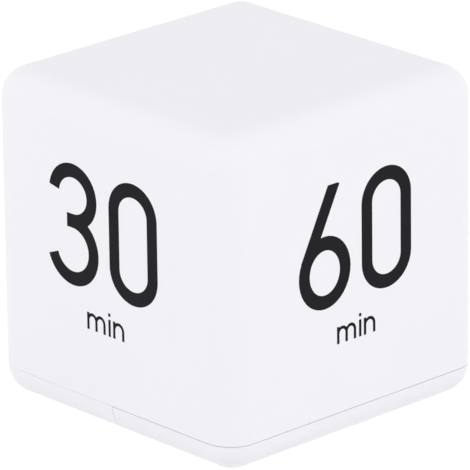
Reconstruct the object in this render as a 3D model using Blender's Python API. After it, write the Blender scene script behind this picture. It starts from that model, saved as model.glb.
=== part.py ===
"""Cube timer: a plastic cube that starts counting when a numbered face is turned up.

The case is a five-sided top shell, a base shell that closes it from below, and a battery door
that slides off the base. The base carries the display, the slide switch, the buzzer, the board
with its tilt sensor, and two cells in a bay. The cube stands on z = 0, centred on the z axis,
with the face of the 30 towards -Y and the face of the 60 towards +X. All lengths are in metres.
"""

import math

import bmesh
import bpy
from mathutils import Matrix, Vector

# Fits shared by all pieces
FIT_GAP = 0.0003
CUT_OVERRUN = 0.003
JOIN_OVERLAP = 0.0006
WELD_DISTANCE = 0.000001

# Case
EDGE_RADIUS = 0.0058
WALL = 0.002
LIP_WALL = 0.0016
LIP_RISE = 0.0028
SHARP_ANGLE = math.radians(35)
EDGE_STEPS = 10
INNER_EDGE_STEPS = 5
CORNER_STEPS = 4
ROUND_STEPS = 24
SMALL_ROUND_STEPS = 16

SEAM_Z = EDGE_RADIUS
SHELL_FOOT = SEAM_Z + FIT_GAP / 2
TRAY_TOP = SEAM_Z - FIT_GAP / 2
FLOOR_TOP = WALL
LIP_INSET = WALL + FIT_GAP
LIP_TOP = SEAM_Z + LIP_RISE

# Battery door, which slides towards +X
DOOR_EDGE_ROOM = 0.0028
LEDGE_THICKNESS = 0.0013
RAIL_DEPTH = 0.0009
RAIL_HEIGHT = 0.0012
RAIL_LENGTH = 0.021
TONGUE_REACH = 0.0012
TONGUE_THICKNESS = 0.0007
TONGUE_WIDTH = 0.04
LATCH_RISE = 0.0002
LATCH_LENGTH = 0.0012
LATCH_WIDTH = 0.006
GRIP_COUNT = 5
GRIP_PITCH = 0.0017
GRIP_WIDTH = 0.0008
GRIP_LENGTH = 0.014
GRIP_DEPTH = 0.0005
GRIP_INSET = 0.0045

LEDGE_LOW = WALL + FIT_GAP
LEDGE_TOP = LEDGE_LOW + LEDGE_THICKNESS
RAIL_LOW_Z = LEDGE_LOW + RAIL_DEPTH

# Cells and their bay
CELL_RADIUS = 0.00515
CELL_LENGTH = 0.0445
CELL_BUTTON_RADIUS = 0.0019
CELL_BUTTON_LENGTH = 0.0011
CELL_EDGE = 0.0004
CELL_CLEARANCE = 0.0004
CELL_DROP = 0.0006
BAY_WALL = 0.0014
BAY_OUTER_WALL = 0.0023
BAY_END_ROOM = 0.0007
BAY_RIDGE_WIDTH = 0.0008
SPRING_ROOM = 0.0045

TROUGH_RADIUS = CELL_RADIUS + CELL_CLEARANCE
CELL_Z = WALL + CELL_DROP + CELL_RADIUS
BAY_TOP = CELL_Z + TROUGH_RADIUS + BAY_WALL

# Contacts of the cells
PLATE_THICKNESS = 0.0004
PLATE_HALF_WIDTH = 0.0042
PLATE_DROP = 0.0042
PLATE_RISE = 0.0031
PLATE_CORNER = 0.001
TAG_HALF_WIDTH = 0.001
TAG_RISE = 0.0018
SPRING_WIRE = 0.0006
SPRING_TURNS = 3.5
SPRING_WIDE_RADIUS = 0.0036
SPRING_NARROW_RADIUS = 0.002
SPRING_POINTS_PER_TURN = 10

CONTACT_HALF_SPAN = (CELL_LENGTH + SPRING_ROOM) / 2
PLATE_OUTER_Y = CONTACT_HALF_SPAN + FIT_GAP + PLATE_THICKNESS
BAY_HALF_LENGTH = PLATE_OUTER_Y + FIT_GAP
TAG_TOP = BAY_TOP + TAG_RISE

# Display, read through the floor of the base
GLASS_WIDTH = 0.0104
GLASS_LENGTH = 0.027
GLASS_THICKNESS = 0.0009
GLASS_LEDGE = 0.0024
FRAME_WALL = 0.0008
FRAME_WEB = 0.0008
WINDOW_WIDTH = 0.0114
WINDOW_LENGTH = 0.026
WINDOW_THICKNESS = 0.001
WINDOW_RECESS = 0.0002
WINDOW_CORNER = 0.001
WINDOW_RIM = 0.0015
CONNECTOR_WIDTH = 0.0016
CONNECTOR_LENGTH = 0.025

FRAME_OUTER_WIDTH = GLASS_WIDTH + 2 * (FIT_GAP + FRAME_WALL)
FRAME_OUTER_LENGTH = GLASS_LENGTH + 2 * (FIT_GAP + FRAME_WALL)
GLASS_LOW = FLOOR_TOP + FIT_GAP
GLASS_STEP = GLASS_LOW + GLASS_THICKNESS
GLASS_TOP = GLASS_STEP + GLASS_THICKNESS
CONNECTOR_LOW = GLASS_STEP + FIT_GAP
WEB_LOW = GLASS_TOP + FIT_GAP
WEB_TOP = WEB_LOW + FRAME_WEB

# Buzzer and the sound holes under it
BUZZER_RADIUS = 0.0055
BUZZER_LOW = 0.0026
BUZZER_WALL = 0.0008
BUZZER_PORT_RADIUS = 0.0012
BUZZER_SHELF_RISE = 0.0026
BUZZER_SHELF_RADIUS = 0.0038
BUZZER_SIDE_INSET = 0.0101
BUZZER_FRAME_ROOM = 0.00175
DISC_THICKNESS = 0.0003
CERAMIC_RADIUS = 0.003
CERAMIC_THICKNESS = 0.0003
SOUND_HOLE_RADIUS = 0.0006
SOUND_RING_RADIUS = 0.003
SOUND_RING_COUNT = 6

BUZZER_BORE = BUZZER_RADIUS - BUZZER_WALL
BUZZER_SHELF = BUZZER_LOW + BUZZER_SHELF_RISE

# Side of the cube, from the larger of the two rows of parts that it holds
CELL_ROW = 2 * (LIP_INSET + LIP_WALL + BAY_END_ROOM + BAY_WALL + BAY_HALF_LENGTH)
FIXED_ROW = LIP_INSET + LIP_WALL + FIT_GAP + 2 * BUZZER_RADIUS + BUZZER_FRAME_ROOM + FRAME_OUTER_WIDTH
DOOR_ROW = DOOR_EDGE_ROOM + BAY_WALL + 4 * TROUGH_RADIUS + BAY_OUTER_WALL + LIP_INSET
WORKS_ROW = FIXED_ROW + FIT_GAP + WALL + FIT_GAP / 2 + DOOR_ROW
CUBE_SIDE = max(CELL_ROW, WORKS_ROW)

HALF = CUBE_SIDE / 2
LIP_OUTER = HALF - LIP_INSET
LIP_INNER = LIP_OUTER - LIP_WALL
LIP_INNER_RADIUS = EDGE_RADIUS - LIP_INSET - LIP_WALL

# Places along X, from the wall behind the cells inwards
BAY_HIGH_X = LIP_OUTER - BAY_OUTER_WALL
CELL_2_X = BAY_HIGH_X - TROUGH_RADIUS
CELL_1_X = CELL_2_X - 2 * TROUGH_RADIUS
BAY_LOW_X = CELL_1_X - TROUGH_RADIUS
BAY_BLOCK_LOW_X = BAY_LOW_X - BAY_WALL
BAY_BLOCK_HIGH_X = BAY_HIGH_X + BAY_WALL
RAIL_HIGH_X = HALF - EDGE_RADIUS
DOOR_EDGE_X = BAY_BLOCK_LOW_X - DOOR_EDGE_ROOM
DOOR_LOW_X = DOOR_EDGE_X + FIT_GAP / 2
FLOOR_HIGH_X = DOOR_EDGE_X - FIT_GAP / 2
POCKET_HIGH_X = FLOOR_HIGH_X - WALL
DISPLAY_X = POCKET_HIGH_X - FIT_GAP - FRAME_OUTER_WIDTH / 2
GLASS_LOW_X = DISPLAY_X - GLASS_WIDTH / 2
GLASS_HIGH_X = DISPLAY_X + GLASS_WIDTH / 2
CONNECTOR_X = GLASS_LOW_X + GLASS_LEDGE / 2
BUZZER_X = FIT_GAP + BUZZER_RADIUS - LIP_INNER

# Case screws with their posts and towers
CASE_SCREW_INSET = 0.0092
CASE_SCREW_RADIUS = 0.001
CASE_SCREW_LENGTH = 0.01
CASE_HEAD_RADIUS = 0.002
CASE_HEAD_HEIGHT = 0.0018
CASE_HEAD_SEAT = 0.005
CASE_POST_RADIUS = 0.0032
CASE_POST_TOP = 0.009
TOWER_RADIUS = 0.003
TOWER_RIB = 0.0012
TOWER_HOLE_DEPTH = 0.0075

CASE_SCREW_XY = HALF - CASE_SCREW_INSET
CASE_SCREW_PLACES = [(-CASE_SCREW_XY, -CASE_SCREW_XY), (-CASE_SCREW_XY, CASE_SCREW_XY)]
TOWER_FOOT = CASE_POST_TOP + FIT_GAP

# Hooks of the base and the catches of the top shell that they reach over
HOOK_HALF_SPREAD = 0.014
HOOK_WIDTH = 0.008
HOOK_REACH = 0.0009
HOOK_HEIGHT = 0.0016
CATCH_HEIGHT = 0.0017
CATCH_TIP = 0.0006

HOOK_TIP_X = BAY_BLOCK_HIGH_X + HOOK_REACH
HOOK_LOW_Z = BAY_TOP - HOOK_HEIGHT
CATCH_TOP = HOOK_LOW_Z - FIT_GAP
CATCH_LOW = CATCH_TOP - CATCH_HEIGHT
CATCH_TIP_X = BAY_BLOCK_HIGH_X + FIT_GAP

# Board, its posts and its screws
BOARD_THICKNESS = 0.0012
BOARD_SIDE_GAP = 0.0004
BOARD_END_GAP = 0.0005
BOARD_CORNER = 0.001
BOARD_POST_TOP = 0.0087
BOARD_POST_RADIUS = 0.002
BOARD_SCREW_INSET = 0.0024
BOARD_SCREW_RADIUS = 0.0007
BOARD_SCREW_LENGTH = 0.0052
BOARD_HEAD_RADIUS = 0.0016
BOARD_HEAD_HEIGHT = 0.0012

BOARD_LOW = BOARD_POST_TOP + FIT_GAP
BOARD_TOP = BOARD_LOW + BOARD_THICKNESS
PARTS_LOW = BOARD_TOP + FIT_GAP
BOARD_LOW_X = BOARD_SIDE_GAP - LIP_INNER
BOARD_HIGH_X = BAY_BLOCK_LOW_X - BOARD_SIDE_GAP
BOARD_HALF_WIDTH = CASE_SCREW_XY - CASE_POST_RADIUS - BOARD_END_GAP
BUZZER_Y = BUZZER_SIDE_INSET - BOARD_HALF_WIDTH
BUZZER_TOP = BOARD_POST_TOP
BOARD_SCREW_PLACES = [
    (x, y)
    for x in (BOARD_LOW_X + BOARD_SCREW_INSET, BOARD_HIGH_X - BOARD_SCREW_INSET)
    for y in (BOARD_SCREW_INSET - BOARD_HALF_WIDTH, BOARD_HALF_WIDTH - BOARD_SCREW_INSET)
]

# Slide switch, whose knob moves along Y
SWITCH_END_INSET = 0.0062
SWITCH_SIDE_INSET = 0.0101
SWITCH_TRAVEL = 0.004
SWITCH_FRAME_LENGTH = 0.01
SWITCH_FRAME_WIDTH = 0.004
SWITCH_FRAME_LOW = 0.0051
SWITCH_SHEET = 0.0004
SWITCH_BASE_THICKNESS = 0.0006
SLIDER_LENGTH = 0.0036
SLIDER_WIDTH = 0.0026
STALK_LENGTH = 0.001
STALK_WIDTH = 0.0006
STALK_LOW = 0.0033
KNOB_LENGTH = 0.004
KNOB_WIDTH = 0.0042
KNOB_THICKNESS = 0.0008
KNOB_RECESS = 0.0002
KNOB_CORNER = 0.0006
KNOB_STEM_LENGTH = 0.0028
KNOB_STEM_WIDTH = 0.0022
KNOB_RIDGE_COUNT = 3
KNOB_RIDGE_PITCH = 0.001
KNOB_RIDGE_WIDTH = 0.0004
KNOB_RIDGE_DEPTH = 0.0003

SWITCH_X = BOARD_LOW_X + SWITCH_END_INSET
SWITCH_Y = BOARD_HALF_WIDTH - SWITCH_SIDE_INSET
KNOB_TOP = KNOB_RECESS + KNOB_THICKNESS
KNOB_STEM_TOP = SWITCH_FRAME_LOW - FIT_GAP
SWITCH_REST_Y = SWITCH_Y - SWITCH_TRAVEL / 2
RECESS_DEPTH = KNOB_TOP + FIT_GAP
SWITCH_CAVITY_LOW = SWITCH_FRAME_LOW + SWITCH_SHEET
SLIDER_LOW = SWITCH_CAVITY_LOW + FIT_GAP
SWITCH_BASE_TOP = BOARD_POST_TOP
SWITCH_BASE_LOW = SWITCH_BASE_TOP - SWITCH_BASE_THICKNESS
SLIDER_TOP = SWITCH_BASE_LOW - FIT_GAP

# Tilt sensor: a ball in a cross-shaped pocket
SENSOR_END_INSET = 0.0124
SENSOR_SIDE_INSET = 0.0121
BALL_RADIUS = 0.0016
BALL_GAP = 0.0002
SENSOR_FLOOR = 0.0008
SENSOR_WALL = 0.0008
SENSOR_LID = 0.0008
ARM_HALF_LENGTH = 0.0057
SENSOR_SHEET = 0.0003
SENSOR_CORNER = 0.0008

SENSOR_X = BOARD_HIGH_X - SENSOR_END_INSET
SENSOR_Y = BOARD_HALF_WIDTH - SENSOR_SIDE_INSET
ARM_HALF_WIDTH = BALL_RADIUS + FIT_GAP
CAGE_HALF = ARM_HALF_LENGTH + SENSOR_WALL
CAGE_FLOOR_TOP = PARTS_LOW + SENSOR_FLOOR
COMMON_LOW = CAGE_FLOOR_TOP + FIT_GAP
COMMON_TOP = COMMON_LOW + SENSOR_SHEET
BALL_Z = COMMON_TOP + BALL_GAP + BALL_RADIUS
CAGE_TOP = BALL_Z + BALL_RADIUS + BALL_GAP
LID_LOW = CAGE_TOP + FIT_GAP
CONTACT_OUTER = ARM_HALF_LENGTH - FIT_GAP
CONTACT_INNER = CONTACT_OUTER - SENSOR_SHEET

# Parts soldered on the board, placed from its edges
BLOB_END_INSET = 0.0109
BLOB_SIDE_INSET = 0.0101
BLOB_RADIUS = 0.005
BLOB_HEIGHT = 0.0014
BLOB_RINGS = 5
CRYSTAL_END_INSET = 0.0116
CRYSTAL_SIDE_INSET = 0.0126
CRYSTAL_RADIUS = 0.001
CRYSTAL_LENGTH = 0.006
CRYSTAL_EDGE = 0.0002
CAPACITOR_END_INSET = 0.0057
CAPACITOR_SIDE_INSET = 0.0106
CAPACITOR_RADIUS = 0.0025
CAPACITOR_HEIGHT = 0.007
CAPACITOR_GROOVE = 0.0003
CAPACITOR_GROOVE_RISE = 0.0012
RESISTOR_END_INSET = 0.0067
RESISTOR_SIDE_INSET = 0.0171
RESISTOR_PITCH = 0.0028
RESISTOR_COUNT = 3
RESISTOR_LENGTH = 0.002
RESISTOR_WIDTH = 0.00125
RESISTOR_HEIGHT = 0.0006
RESISTOR_EDGE = 0.0001

BLOB_X = BOARD_HIGH_X - BLOB_END_INSET
BLOB_Y = BLOB_SIDE_INSET - BOARD_HALF_WIDTH
CRYSTAL_X = BOARD_LOW_X + CRYSTAL_END_INSET
CRYSTAL_Y = CRYSTAL_SIDE_INSET - BOARD_HALF_WIDTH
CAPACITOR_X = BOARD_LOW_X + CAPACITOR_END_INSET
CAPACITOR_Y = CAPACITOR_SIDE_INSET - BOARD_HALF_WIDTH
RESISTOR_X = BOARD_LOW_X + RESISTOR_END_INSET
RESISTOR_Y = BOARD_HALF_WIDTH - RESISTOR_SIDE_INSET

# Leads from the contacts to the board
LEAD_RADIUS = 0.0006
LEAD_ROOF_GAP = 0.0004
LEAD_START_RUN = 0.0016
LEAD_TURN = 0.0016
LEAD_PAD_INSET = 0.002
LEAD_PAD_RISE = 0.0022
LEAD_STEPS = 6
RED_PAD_INSET = 0.0091
BLACK_PAD_INSET = 0.0061
RED_CROSS_INSET = 0.009
BLACK_CROSS_INSET = 0.007

LEAD_START_Y = FIT_GAP + PLATE_THICKNESS - PLATE_OUTER_Y
LEAD_ROOF_Z = BAY_TOP + LEAD_ROOF_GAP + LEAD_RADIUS
LEAD_PAD_X = BOARD_HIGH_X - LEAD_PAD_INSET
RED_PAD_Y = RED_PAD_INSET - BOARD_HALF_WIDTH
BLACK_PAD_Y = BLACK_PAD_INSET - BOARD_HALF_WIDTH
RED_CROSS_Y = RED_CROSS_INSET - BAY_HALF_LENGTH
BLACK_CROSS_Y = BLACK_CROSS_INSET - BAY_HALF_LENGTH


def clear_scene():
    for obj in list(bpy.data.objects):
        bpy.data.objects.remove(obj)


def material(name, colour, roughness, metallic=0.0):
    made = bpy.data.materials.new(name)
    made.use_nodes = True
    shader = made.node_tree.nodes["Principled BSDF"]
    shader.inputs["Base Color"].default_value = (*colour, 1.0)
    shader.inputs["Roughness"].default_value = roughness
    shader.inputs["Metallic"].default_value = metallic
    return made


def object_from(mesh_data, name, finish=None):
    """A new object from the bmesh, with its faces pointing out."""
    bmesh.ops.remove_doubles(mesh_data, verts=mesh_data.verts, dist=WELD_DISTANCE)
    bmesh.ops.recalc_face_normals(mesh_data, faces=mesh_data.faces)
    mesh = bpy.data.meshes.new(name)
    mesh_data.to_mesh(mesh)
    mesh_data.free()
    mesh.shade_smooth()
    mesh.set_sharp_from_angle(angle=SHARP_ANGLE)
    obj = bpy.data.objects.new(name, mesh)
    bpy.context.scene.collection.objects.link(obj)
    if finish:
        mesh.materials.append(finish)
    return obj


def box(name, low, high, finish=None):
    mesh_data = bmesh.new()
    size = Vector(high) - Vector(low)
    middle = (Vector(high) + Vector(low)) / 2
    bmesh.ops.create_cube(mesh_data, size=1, matrix=Matrix.LocRotScale(middle, None, size))
    return object_from(mesh_data, name, finish)


def rounded_box(name, low, high, radius, steps, finish=None):
    """A box with all its edges rounded."""
    obj = box(name, low, high, finish)
    bevel = obj.modifiers.new("rounded edges", "BEVEL")
    bevel.width = radius
    bevel.segments = steps
    bevel.limit_method = "NONE"
    return obj


def case_form(name, inset, steps, finish=None):
    """The rounded cube of the case, drawn in on every side by the inset."""
    side = HALF - inset
    low = (-side, -side, inset)
    high = (side, side, CUBE_SIDE - inset)
    return rounded_box(name, low, high, EDGE_RADIUS - inset, steps, finish)


def slab(name, low_x, high_x, low_z, high_z, finish=None):
    """A box between two x and two z values that passes the case on both sides in Y."""
    reach = HALF + CUT_OVERRUN
    return box(name, (low_x, -reach, low_z), (high_x, reach, high_z), finish)


def circle(centre, radius, steps=ROUND_STEPS):
    turns = [math.tau * step / steps for step in range(steps)]
    return [(centre[0] + radius * math.cos(t), centre[1] + radius * math.sin(t)) for t in turns]


def arc(centre, radius, start, end, steps):
    """Points of an arc from one angle to another, both ends included."""
    turns = [start + (end - start) * step / steps for step in range(steps + 1)]
    return [(centre[0] + radius * math.cos(t), centre[1] + radius * math.sin(t)) for t in turns]


def rectangle(low, high):
    return [(low[0], low[1]), (high[0], low[1]), (high[0], high[1]), (low[0], high[1])]


def rounded_rectangle(centre, size, radius, steps=CORNER_STEPS):
    """A rectangle around its centre with its four corners as arcs."""
    reach_a = size[0] / 2 - radius
    reach_b = size[1] / 2 - radius
    points = []
    for quarter, (side_a, side_b) in enumerate([(1, 1), (-1, 1), (-1, -1), (1, -1)]):
        middle = (centre[0] + side_a * reach_a, centre[1] + side_b * reach_b)
        start = quarter * math.pi / 2
        points += arc(middle, radius, start, start + math.pi / 2, steps)
    return points


def cross(centre, half_length, half_width):
    """A cross of four equal arms."""
    corners = [(half_length, -half_width), (half_length, half_width), (half_width, half_width)]
    points = []
    for quarter in range(4):
        turn = Matrix.Rotation(quarter * math.pi / 2, 2)
        points += [Vector(centre) + turn @ Vector(corner) for corner in corners]
    return points


def prisms(name, outlines, axis, low, high, finish=None):
    """Outlines extruded from low to high along an axis.

    An outline lies in XY for the Z axis, in XZ for the Y axis and in YZ for the X axis.
    """
    lay = {
        "Z": lambda a, b, h: (a, b, h),
        "Y": lambda a, b, h: (a, h, b),
        "X": lambda a, b, h: (h, a, b),
    }[axis]
    mesh_data = bmesh.new()
    for outline in outlines:
        foot = mesh_data.faces.new([mesh_data.verts.new(lay(a, b, low)) for a, b in outline])
        grown = bmesh.ops.extrude_face_region(mesh_data, geom=[foot])
        risen = [item for item in grown["geom"] if isinstance(item, bmesh.types.BMVert)]
        shift = Vector(lay(0, 0, high)) - Vector(lay(0, 0, low))
        bmesh.ops.translate(mesh_data, verts=risen, vec=shift)
    return object_from(mesh_data, name, finish)


def prism(name, outline, axis, low, high, finish=None):
    return prisms(name, [outline], axis, low, high, finish)


def turned(name, profile, place, steps=ROUND_STEPS, axis="Z", closed=False, finish=None):
    """A profile of (radius, height) points spun about an axis through the place."""
    mesh_data = bmesh.new()
    verts = [mesh_data.verts.new((radius, 0, height)) for radius, height in profile]
    pairs = list(zip(verts, verts[1:]))
    if closed:
        pairs.append((verts[-1], verts[0]))
    edges = [mesh_data.edges.new(pair) for pair in pairs]
    bmesh.ops.spin(
        mesh_data,
        geom=verts + edges,
        cent=(0, 0, 0),
        axis=(0, 0, 1),
        angle=math.tau,
        steps=steps,
        use_merge=True,
    )
    tip = {
        "Z": Matrix.Identity(3),
        "Y": Matrix.Rotation(-math.pi / 2, 3, "X"),
        "-Y": Matrix.Rotation(math.pi / 2, 3, "X"),
    }[axis]
    turn = Matrix.LocRotScale(Vector(place), tip.to_quaternion(), None)
    bmesh.ops.transform(mesh_data, matrix=turn, verts=mesh_data.verts)
    return object_from(mesh_data, name, finish)


def tube(name, points, radius, resolution, finish=None):
    """A round wire along the points, closed at both ends."""
    curve = bpy.data.curves.new(name, "CURVE")
    curve.dimensions = "3D"
    curve.bevel_depth = radius
    curve.bevel_resolution = resolution
    curve.use_fill_caps = True
    spline = curve.splines.new("POLY")
    spline.points.add(len(points) - 1)
    for point, place in zip(spline.points, points):
        point.co = (*place, 1)
    obj = bpy.data.objects.new(name, curve)
    bpy.context.scene.collection.objects.link(obj)
    if finish:
        curve.materials.append(finish)
    return obj


def combine(obj, other, operation):
    """A Boolean that stays live; the other object becomes a hidden tool of it."""
    boolean = obj.modifiers.new(f"{operation.lower()} {other.name}", "BOOLEAN")
    boolean.operation = operation
    boolean.object = other
    boolean.solver = "EXACT"
    other.hide_render = True
    other.display_type = "WIRE"


def cut(obj, *others):
    for other in others:
        combine(obj, other, "DIFFERENCE")


def join(obj, *others):
    for other in others:
        combine(obj, other, "UNION")


def keep_within(obj, other):
    combine(obj, other, "INTERSECT")


def hang_on(axis_name, place, *pieces):
    """Parents the pieces to an empty that stands on the axis they move along."""
    axis = bpy.data.objects.new(axis_name, None)
    axis.location = place
    bpy.context.scene.collection.objects.link(axis)
    bpy.context.view_layer.update()
    for piece in pieces:
        piece.parent = axis
        piece.matrix_parent_inverse = axis.matrix_world.inverted()


def make_top_shell(finish):
    """The five-sided shell: screw towers in two corners, and catches on the +X wall."""
    shell = case_form("top_shell", 0, EDGE_STEPS, finish)
    below = slab("top_shell_below", -HALF - CUT_OVERRUN, HALF + CUT_OVERRUN, -CUT_OVERRUN, SHELL_FOOT)
    hollow = case_form("top_shell_hollow", WALL, INNER_EDGE_STEPS)
    towers = prisms(
        "top_shell_towers",
        [circle(place, TOWER_RADIUS, SMALL_ROUND_STEPS) for place in CASE_SCREW_PLACES],
        "Z", TOWER_FOOT, CUBE_SIDE,
    )
    side_ribs = prisms(
        "top_shell_side_ribs",
        [rectangle((-HALF, y - TOWER_RIB / 2), (x, y + TOWER_RIB / 2)) for x, y in CASE_SCREW_PLACES],
        "Z", TOWER_FOOT, CUBE_SIDE,
    )
    end_ribs = prisms(
        "top_shell_end_ribs",
        [
            rectangle((x - TOWER_RIB / 2, min(y, math.copysign(HALF, y))),
                      (x + TOWER_RIB / 2, max(y, math.copysign(HALF, y))))
            for x, y in CASE_SCREW_PLACES
        ],
        "Z", TOWER_FOOT, CUBE_SIDE,
    )
    cut(hollow, towers, side_ribs, end_ribs, *make_catches())
    holes = prisms(
        "top_shell_screw_holes",
        [circle(place, CASE_SCREW_RADIUS + FIT_GAP, SMALL_ROUND_STEPS) for place in CASE_SCREW_PLACES],
        "Z", TOWER_FOOT - CUT_OVERRUN, TOWER_FOOT + TOWER_HOLE_DEPTH,
    )
    cut(shell, below, hollow, holes)
    return shell


def make_catches():
    """Two wedge-shaped catches on the inside of the +X wall."""
    profile = [
        (HALF, CATCH_LOW),
        (HALF, CATCH_TOP),
        (CATCH_TIP_X, CATCH_TOP),
        (CATCH_TIP_X, CATCH_TOP - CATCH_TIP),
        (HALF - WALL, CATCH_LOW),
    ]
    return [
        prism(f"top_shell_catch_{number}", profile, "Y", y - HOOK_WIDTH / 2, y + HOOK_WIDTH / 2)
        for number, y in enumerate((-HOOK_HALF_SPREAD, HOOK_HALF_SPREAD), 1)
    ]


def make_battery_door(finish):
    """The sliding half of the base skin: side rails, a tongue at its edge, and grip grooves."""
    door = case_form("battery_door", 0, EDGE_STEPS, finish)
    region = slab("battery_door_region", DOOR_LOW_X, HALF + CUT_OVERRUN, -CUT_OVERRUN, TRAY_TOP)
    hollow = case_form("battery_door_hollow", WALL, INNER_EDGE_STEPS)
    rail_low_x = RAIL_HIGH_X - RAIL_LENGTH
    rail_tip_y = HALF - WALL - RAIL_DEPTH
    rail_high_z = RAIL_LOW_Z + RAIL_HEIGHT
    rails = [
        box(
            f"battery_door_rail_{name}",
            (rail_low_x, min(side * rail_tip_y, side * HALF), RAIL_LOW_Z),
            (RAIL_HIGH_X, max(side * rail_tip_y, side * HALF), rail_high_z),
        )
        for name, side in (("front", -1), ("back", 1))
    ]
    cut(hollow, *rails)
    tongue_top = WALL - FIT_GAP
    tongue = box(
        "battery_door_tongue",
        (DOOR_LOW_X - TONGUE_REACH, -TONGUE_WIDTH / 2, tongue_top - TONGUE_THICKNESS),
        (DOOR_LOW_X + WALL, TONGUE_WIDTH / 2, tongue_top),
    )
    latch_x = DOOR_LOW_X + LATCH_LENGTH
    latch = box(
        "battery_door_latch",
        (latch_x, -LATCH_WIDTH / 2, WALL - JOIN_OVERLAP),
        (latch_x + LATCH_LENGTH, LATCH_WIDTH / 2, WALL + LATCH_RISE),
    )
    first_grip_x = DOOR_EDGE_X + GRIP_INSET
    grip_places = [(first_grip_x + number * GRIP_PITCH, 0) for number in range(GRIP_COUNT)]
    grips = prisms(
        "battery_door_grips",
        [rounded_rectangle(place, (GRIP_WIDTH, GRIP_LENGTH), GRIP_WIDTH / 3) for place in grip_places],
        "Z", -CUT_OVERRUN, GRIP_DEPTH,
    )
    keep_within(door, region)
    cut(door, hollow)
    join(door, tongue, latch)
    cut(door, grips)
    return door


def make_base_shell(finish):
    """The lower moulding: fixed half of the base skin, locating lip, posts, bay and hooks."""
    base = case_form("base_shell", 0, EDGE_STEPS, finish)
    keep_within(base, slab("base_shell_region", -HALF - CUT_OVERRUN, FLOOR_HIGH_X, -CUT_OVERRUN, TRAY_TOP))
    liner = case_form("base_shell_liner", LIP_INSET, INNER_EDGE_STEPS)
    keep_within(liner, slab("base_shell_liner_region", -HALF, HALF, -CUT_OVERRUN, LIP_TOP))
    join(base, liner)
    lip_size = 2 * LIP_INNER
    well = prism(
        "base_shell_well",
        rounded_rectangle((0, 0), (lip_size, lip_size), LIP_INNER_RADIUS),
        "Z", LEDGE_TOP, LIP_TOP + CUT_OVERRUN,
    )
    pocket_length = POCKET_HIGH_X + LIP_INNER
    pocket = prism(
        "base_shell_pocket",
        rounded_rectangle(
            (POCKET_HIGH_X - pocket_length / 2, 0), (pocket_length, lip_size), LIP_INNER_RADIUS
        ),
        "Z", FLOOR_TOP, LIP_TOP + CUT_OVERRUN,
    )
    cut(base, well, pocket)
    join(base, make_bay_block(), *make_posts(), *make_hooks())
    cut(base, *make_bay_cuts(), *make_door_cuts(), *make_floor_cuts(), *make_screw_cuts())
    return base


def make_bay_block():
    """The walls and roof of the bay, kept inside the rounded lower edge of the lip."""
    half_length = BAY_HALF_LENGTH + BAY_WALL
    block = prism(
        "base_shell_bay_block",
        rounded_rectangle(
            ((BAY_BLOCK_LOW_X + BAY_BLOCK_HIGH_X) / 2, 0),
            (BAY_BLOCK_HIGH_X - BAY_BLOCK_LOW_X, 2 * half_length),
            BAY_WALL / 2,
        ),
        "Z", LEDGE_TOP - JOIN_OVERLAP, BAY_TOP,
    )
    keep_within(block, case_form("base_shell_bay_limit", LIP_INSET + FIT_GAP, INNER_EDGE_STEPS))
    return block


def make_posts():
    """Posts under the board and around the case screws, from the floor or from the ledge."""
    board_posts = [
        prism(
            f"base_shell_board_post_{number}",
            circle((x, y), BOARD_POST_RADIUS, SMALL_ROUND_STEPS),
            "Z", (FLOOR_TOP if x < POCKET_HIGH_X else LEDGE_TOP) - JOIN_OVERLAP, BOARD_POST_TOP,
        )
        for number, (x, y) in enumerate(BOARD_SCREW_PLACES, 1)
    ]
    case_posts = prisms(
        "base_shell_case_posts",
        [circle(place, CASE_POST_RADIUS, ROUND_STEPS) for place in CASE_SCREW_PLACES],
        "Z", FLOOR_TOP - JOIN_OVERLAP, CASE_POST_TOP,
    )
    return [*board_posts, case_posts]


def make_hooks():
    """Two hooks on the bay that reach over the catches of the top shell."""
    profile = [
        (BAY_BLOCK_HIGH_X - JOIN_OVERLAP, HOOK_LOW_Z),
        (HOOK_TIP_X, HOOK_LOW_Z),
        (BAY_BLOCK_HIGH_X, BAY_TOP - HOOK_HEIGHT / 3),
        (BAY_BLOCK_HIGH_X - JOIN_OVERLAP, BAY_TOP - HOOK_HEIGHT / 3),
    ]
    return [
        prism(f"base_shell_hook_{number}", profile, "Y", y - HOOK_WIDTH / 2, y + HOOK_WIDTH / 2)
        for number, y in enumerate((-HOOK_HALF_SPREAD, HOOK_HALF_SPREAD), 1)
    ]


def make_bay_cuts():
    """The room for two cells side by side, round over each, and slots for the contact tags."""
    ridge_angle = math.acos(1 - BAY_RIDGE_WIDTH / (2 * TROUGH_RADIUS))
    outline = [(BAY_LOW_X, -CUT_OVERRUN)]
    outline += arc((CELL_1_X, CELL_Z), TROUGH_RADIUS, math.pi, ridge_angle, SMALL_ROUND_STEPS)
    outline += arc((CELL_2_X, CELL_Z), TROUGH_RADIUS, math.pi - ridge_angle, 0, SMALL_ROUND_STEPS)
    outline.append((BAY_HIGH_X, -CUT_OVERRUN))
    room = prism("base_shell_cell_room", outline, "Y", -BAY_HALF_LENGTH, BAY_HALF_LENGTH)
    slot_half = TAG_HALF_WIDTH + FIT_GAP
    slots = prisms(
        "base_shell_tag_slots",
        [
            rectangle((x - slot_half, -BAY_HALF_LENGTH), (x + slot_half, LEAD_START_Y))
            for x in (CELL_1_X, CELL_2_X)
        ],
        "Z", CELL_Z, BAY_TOP + CUT_OVERRUN,
    )
    return [room, slots]


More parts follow.
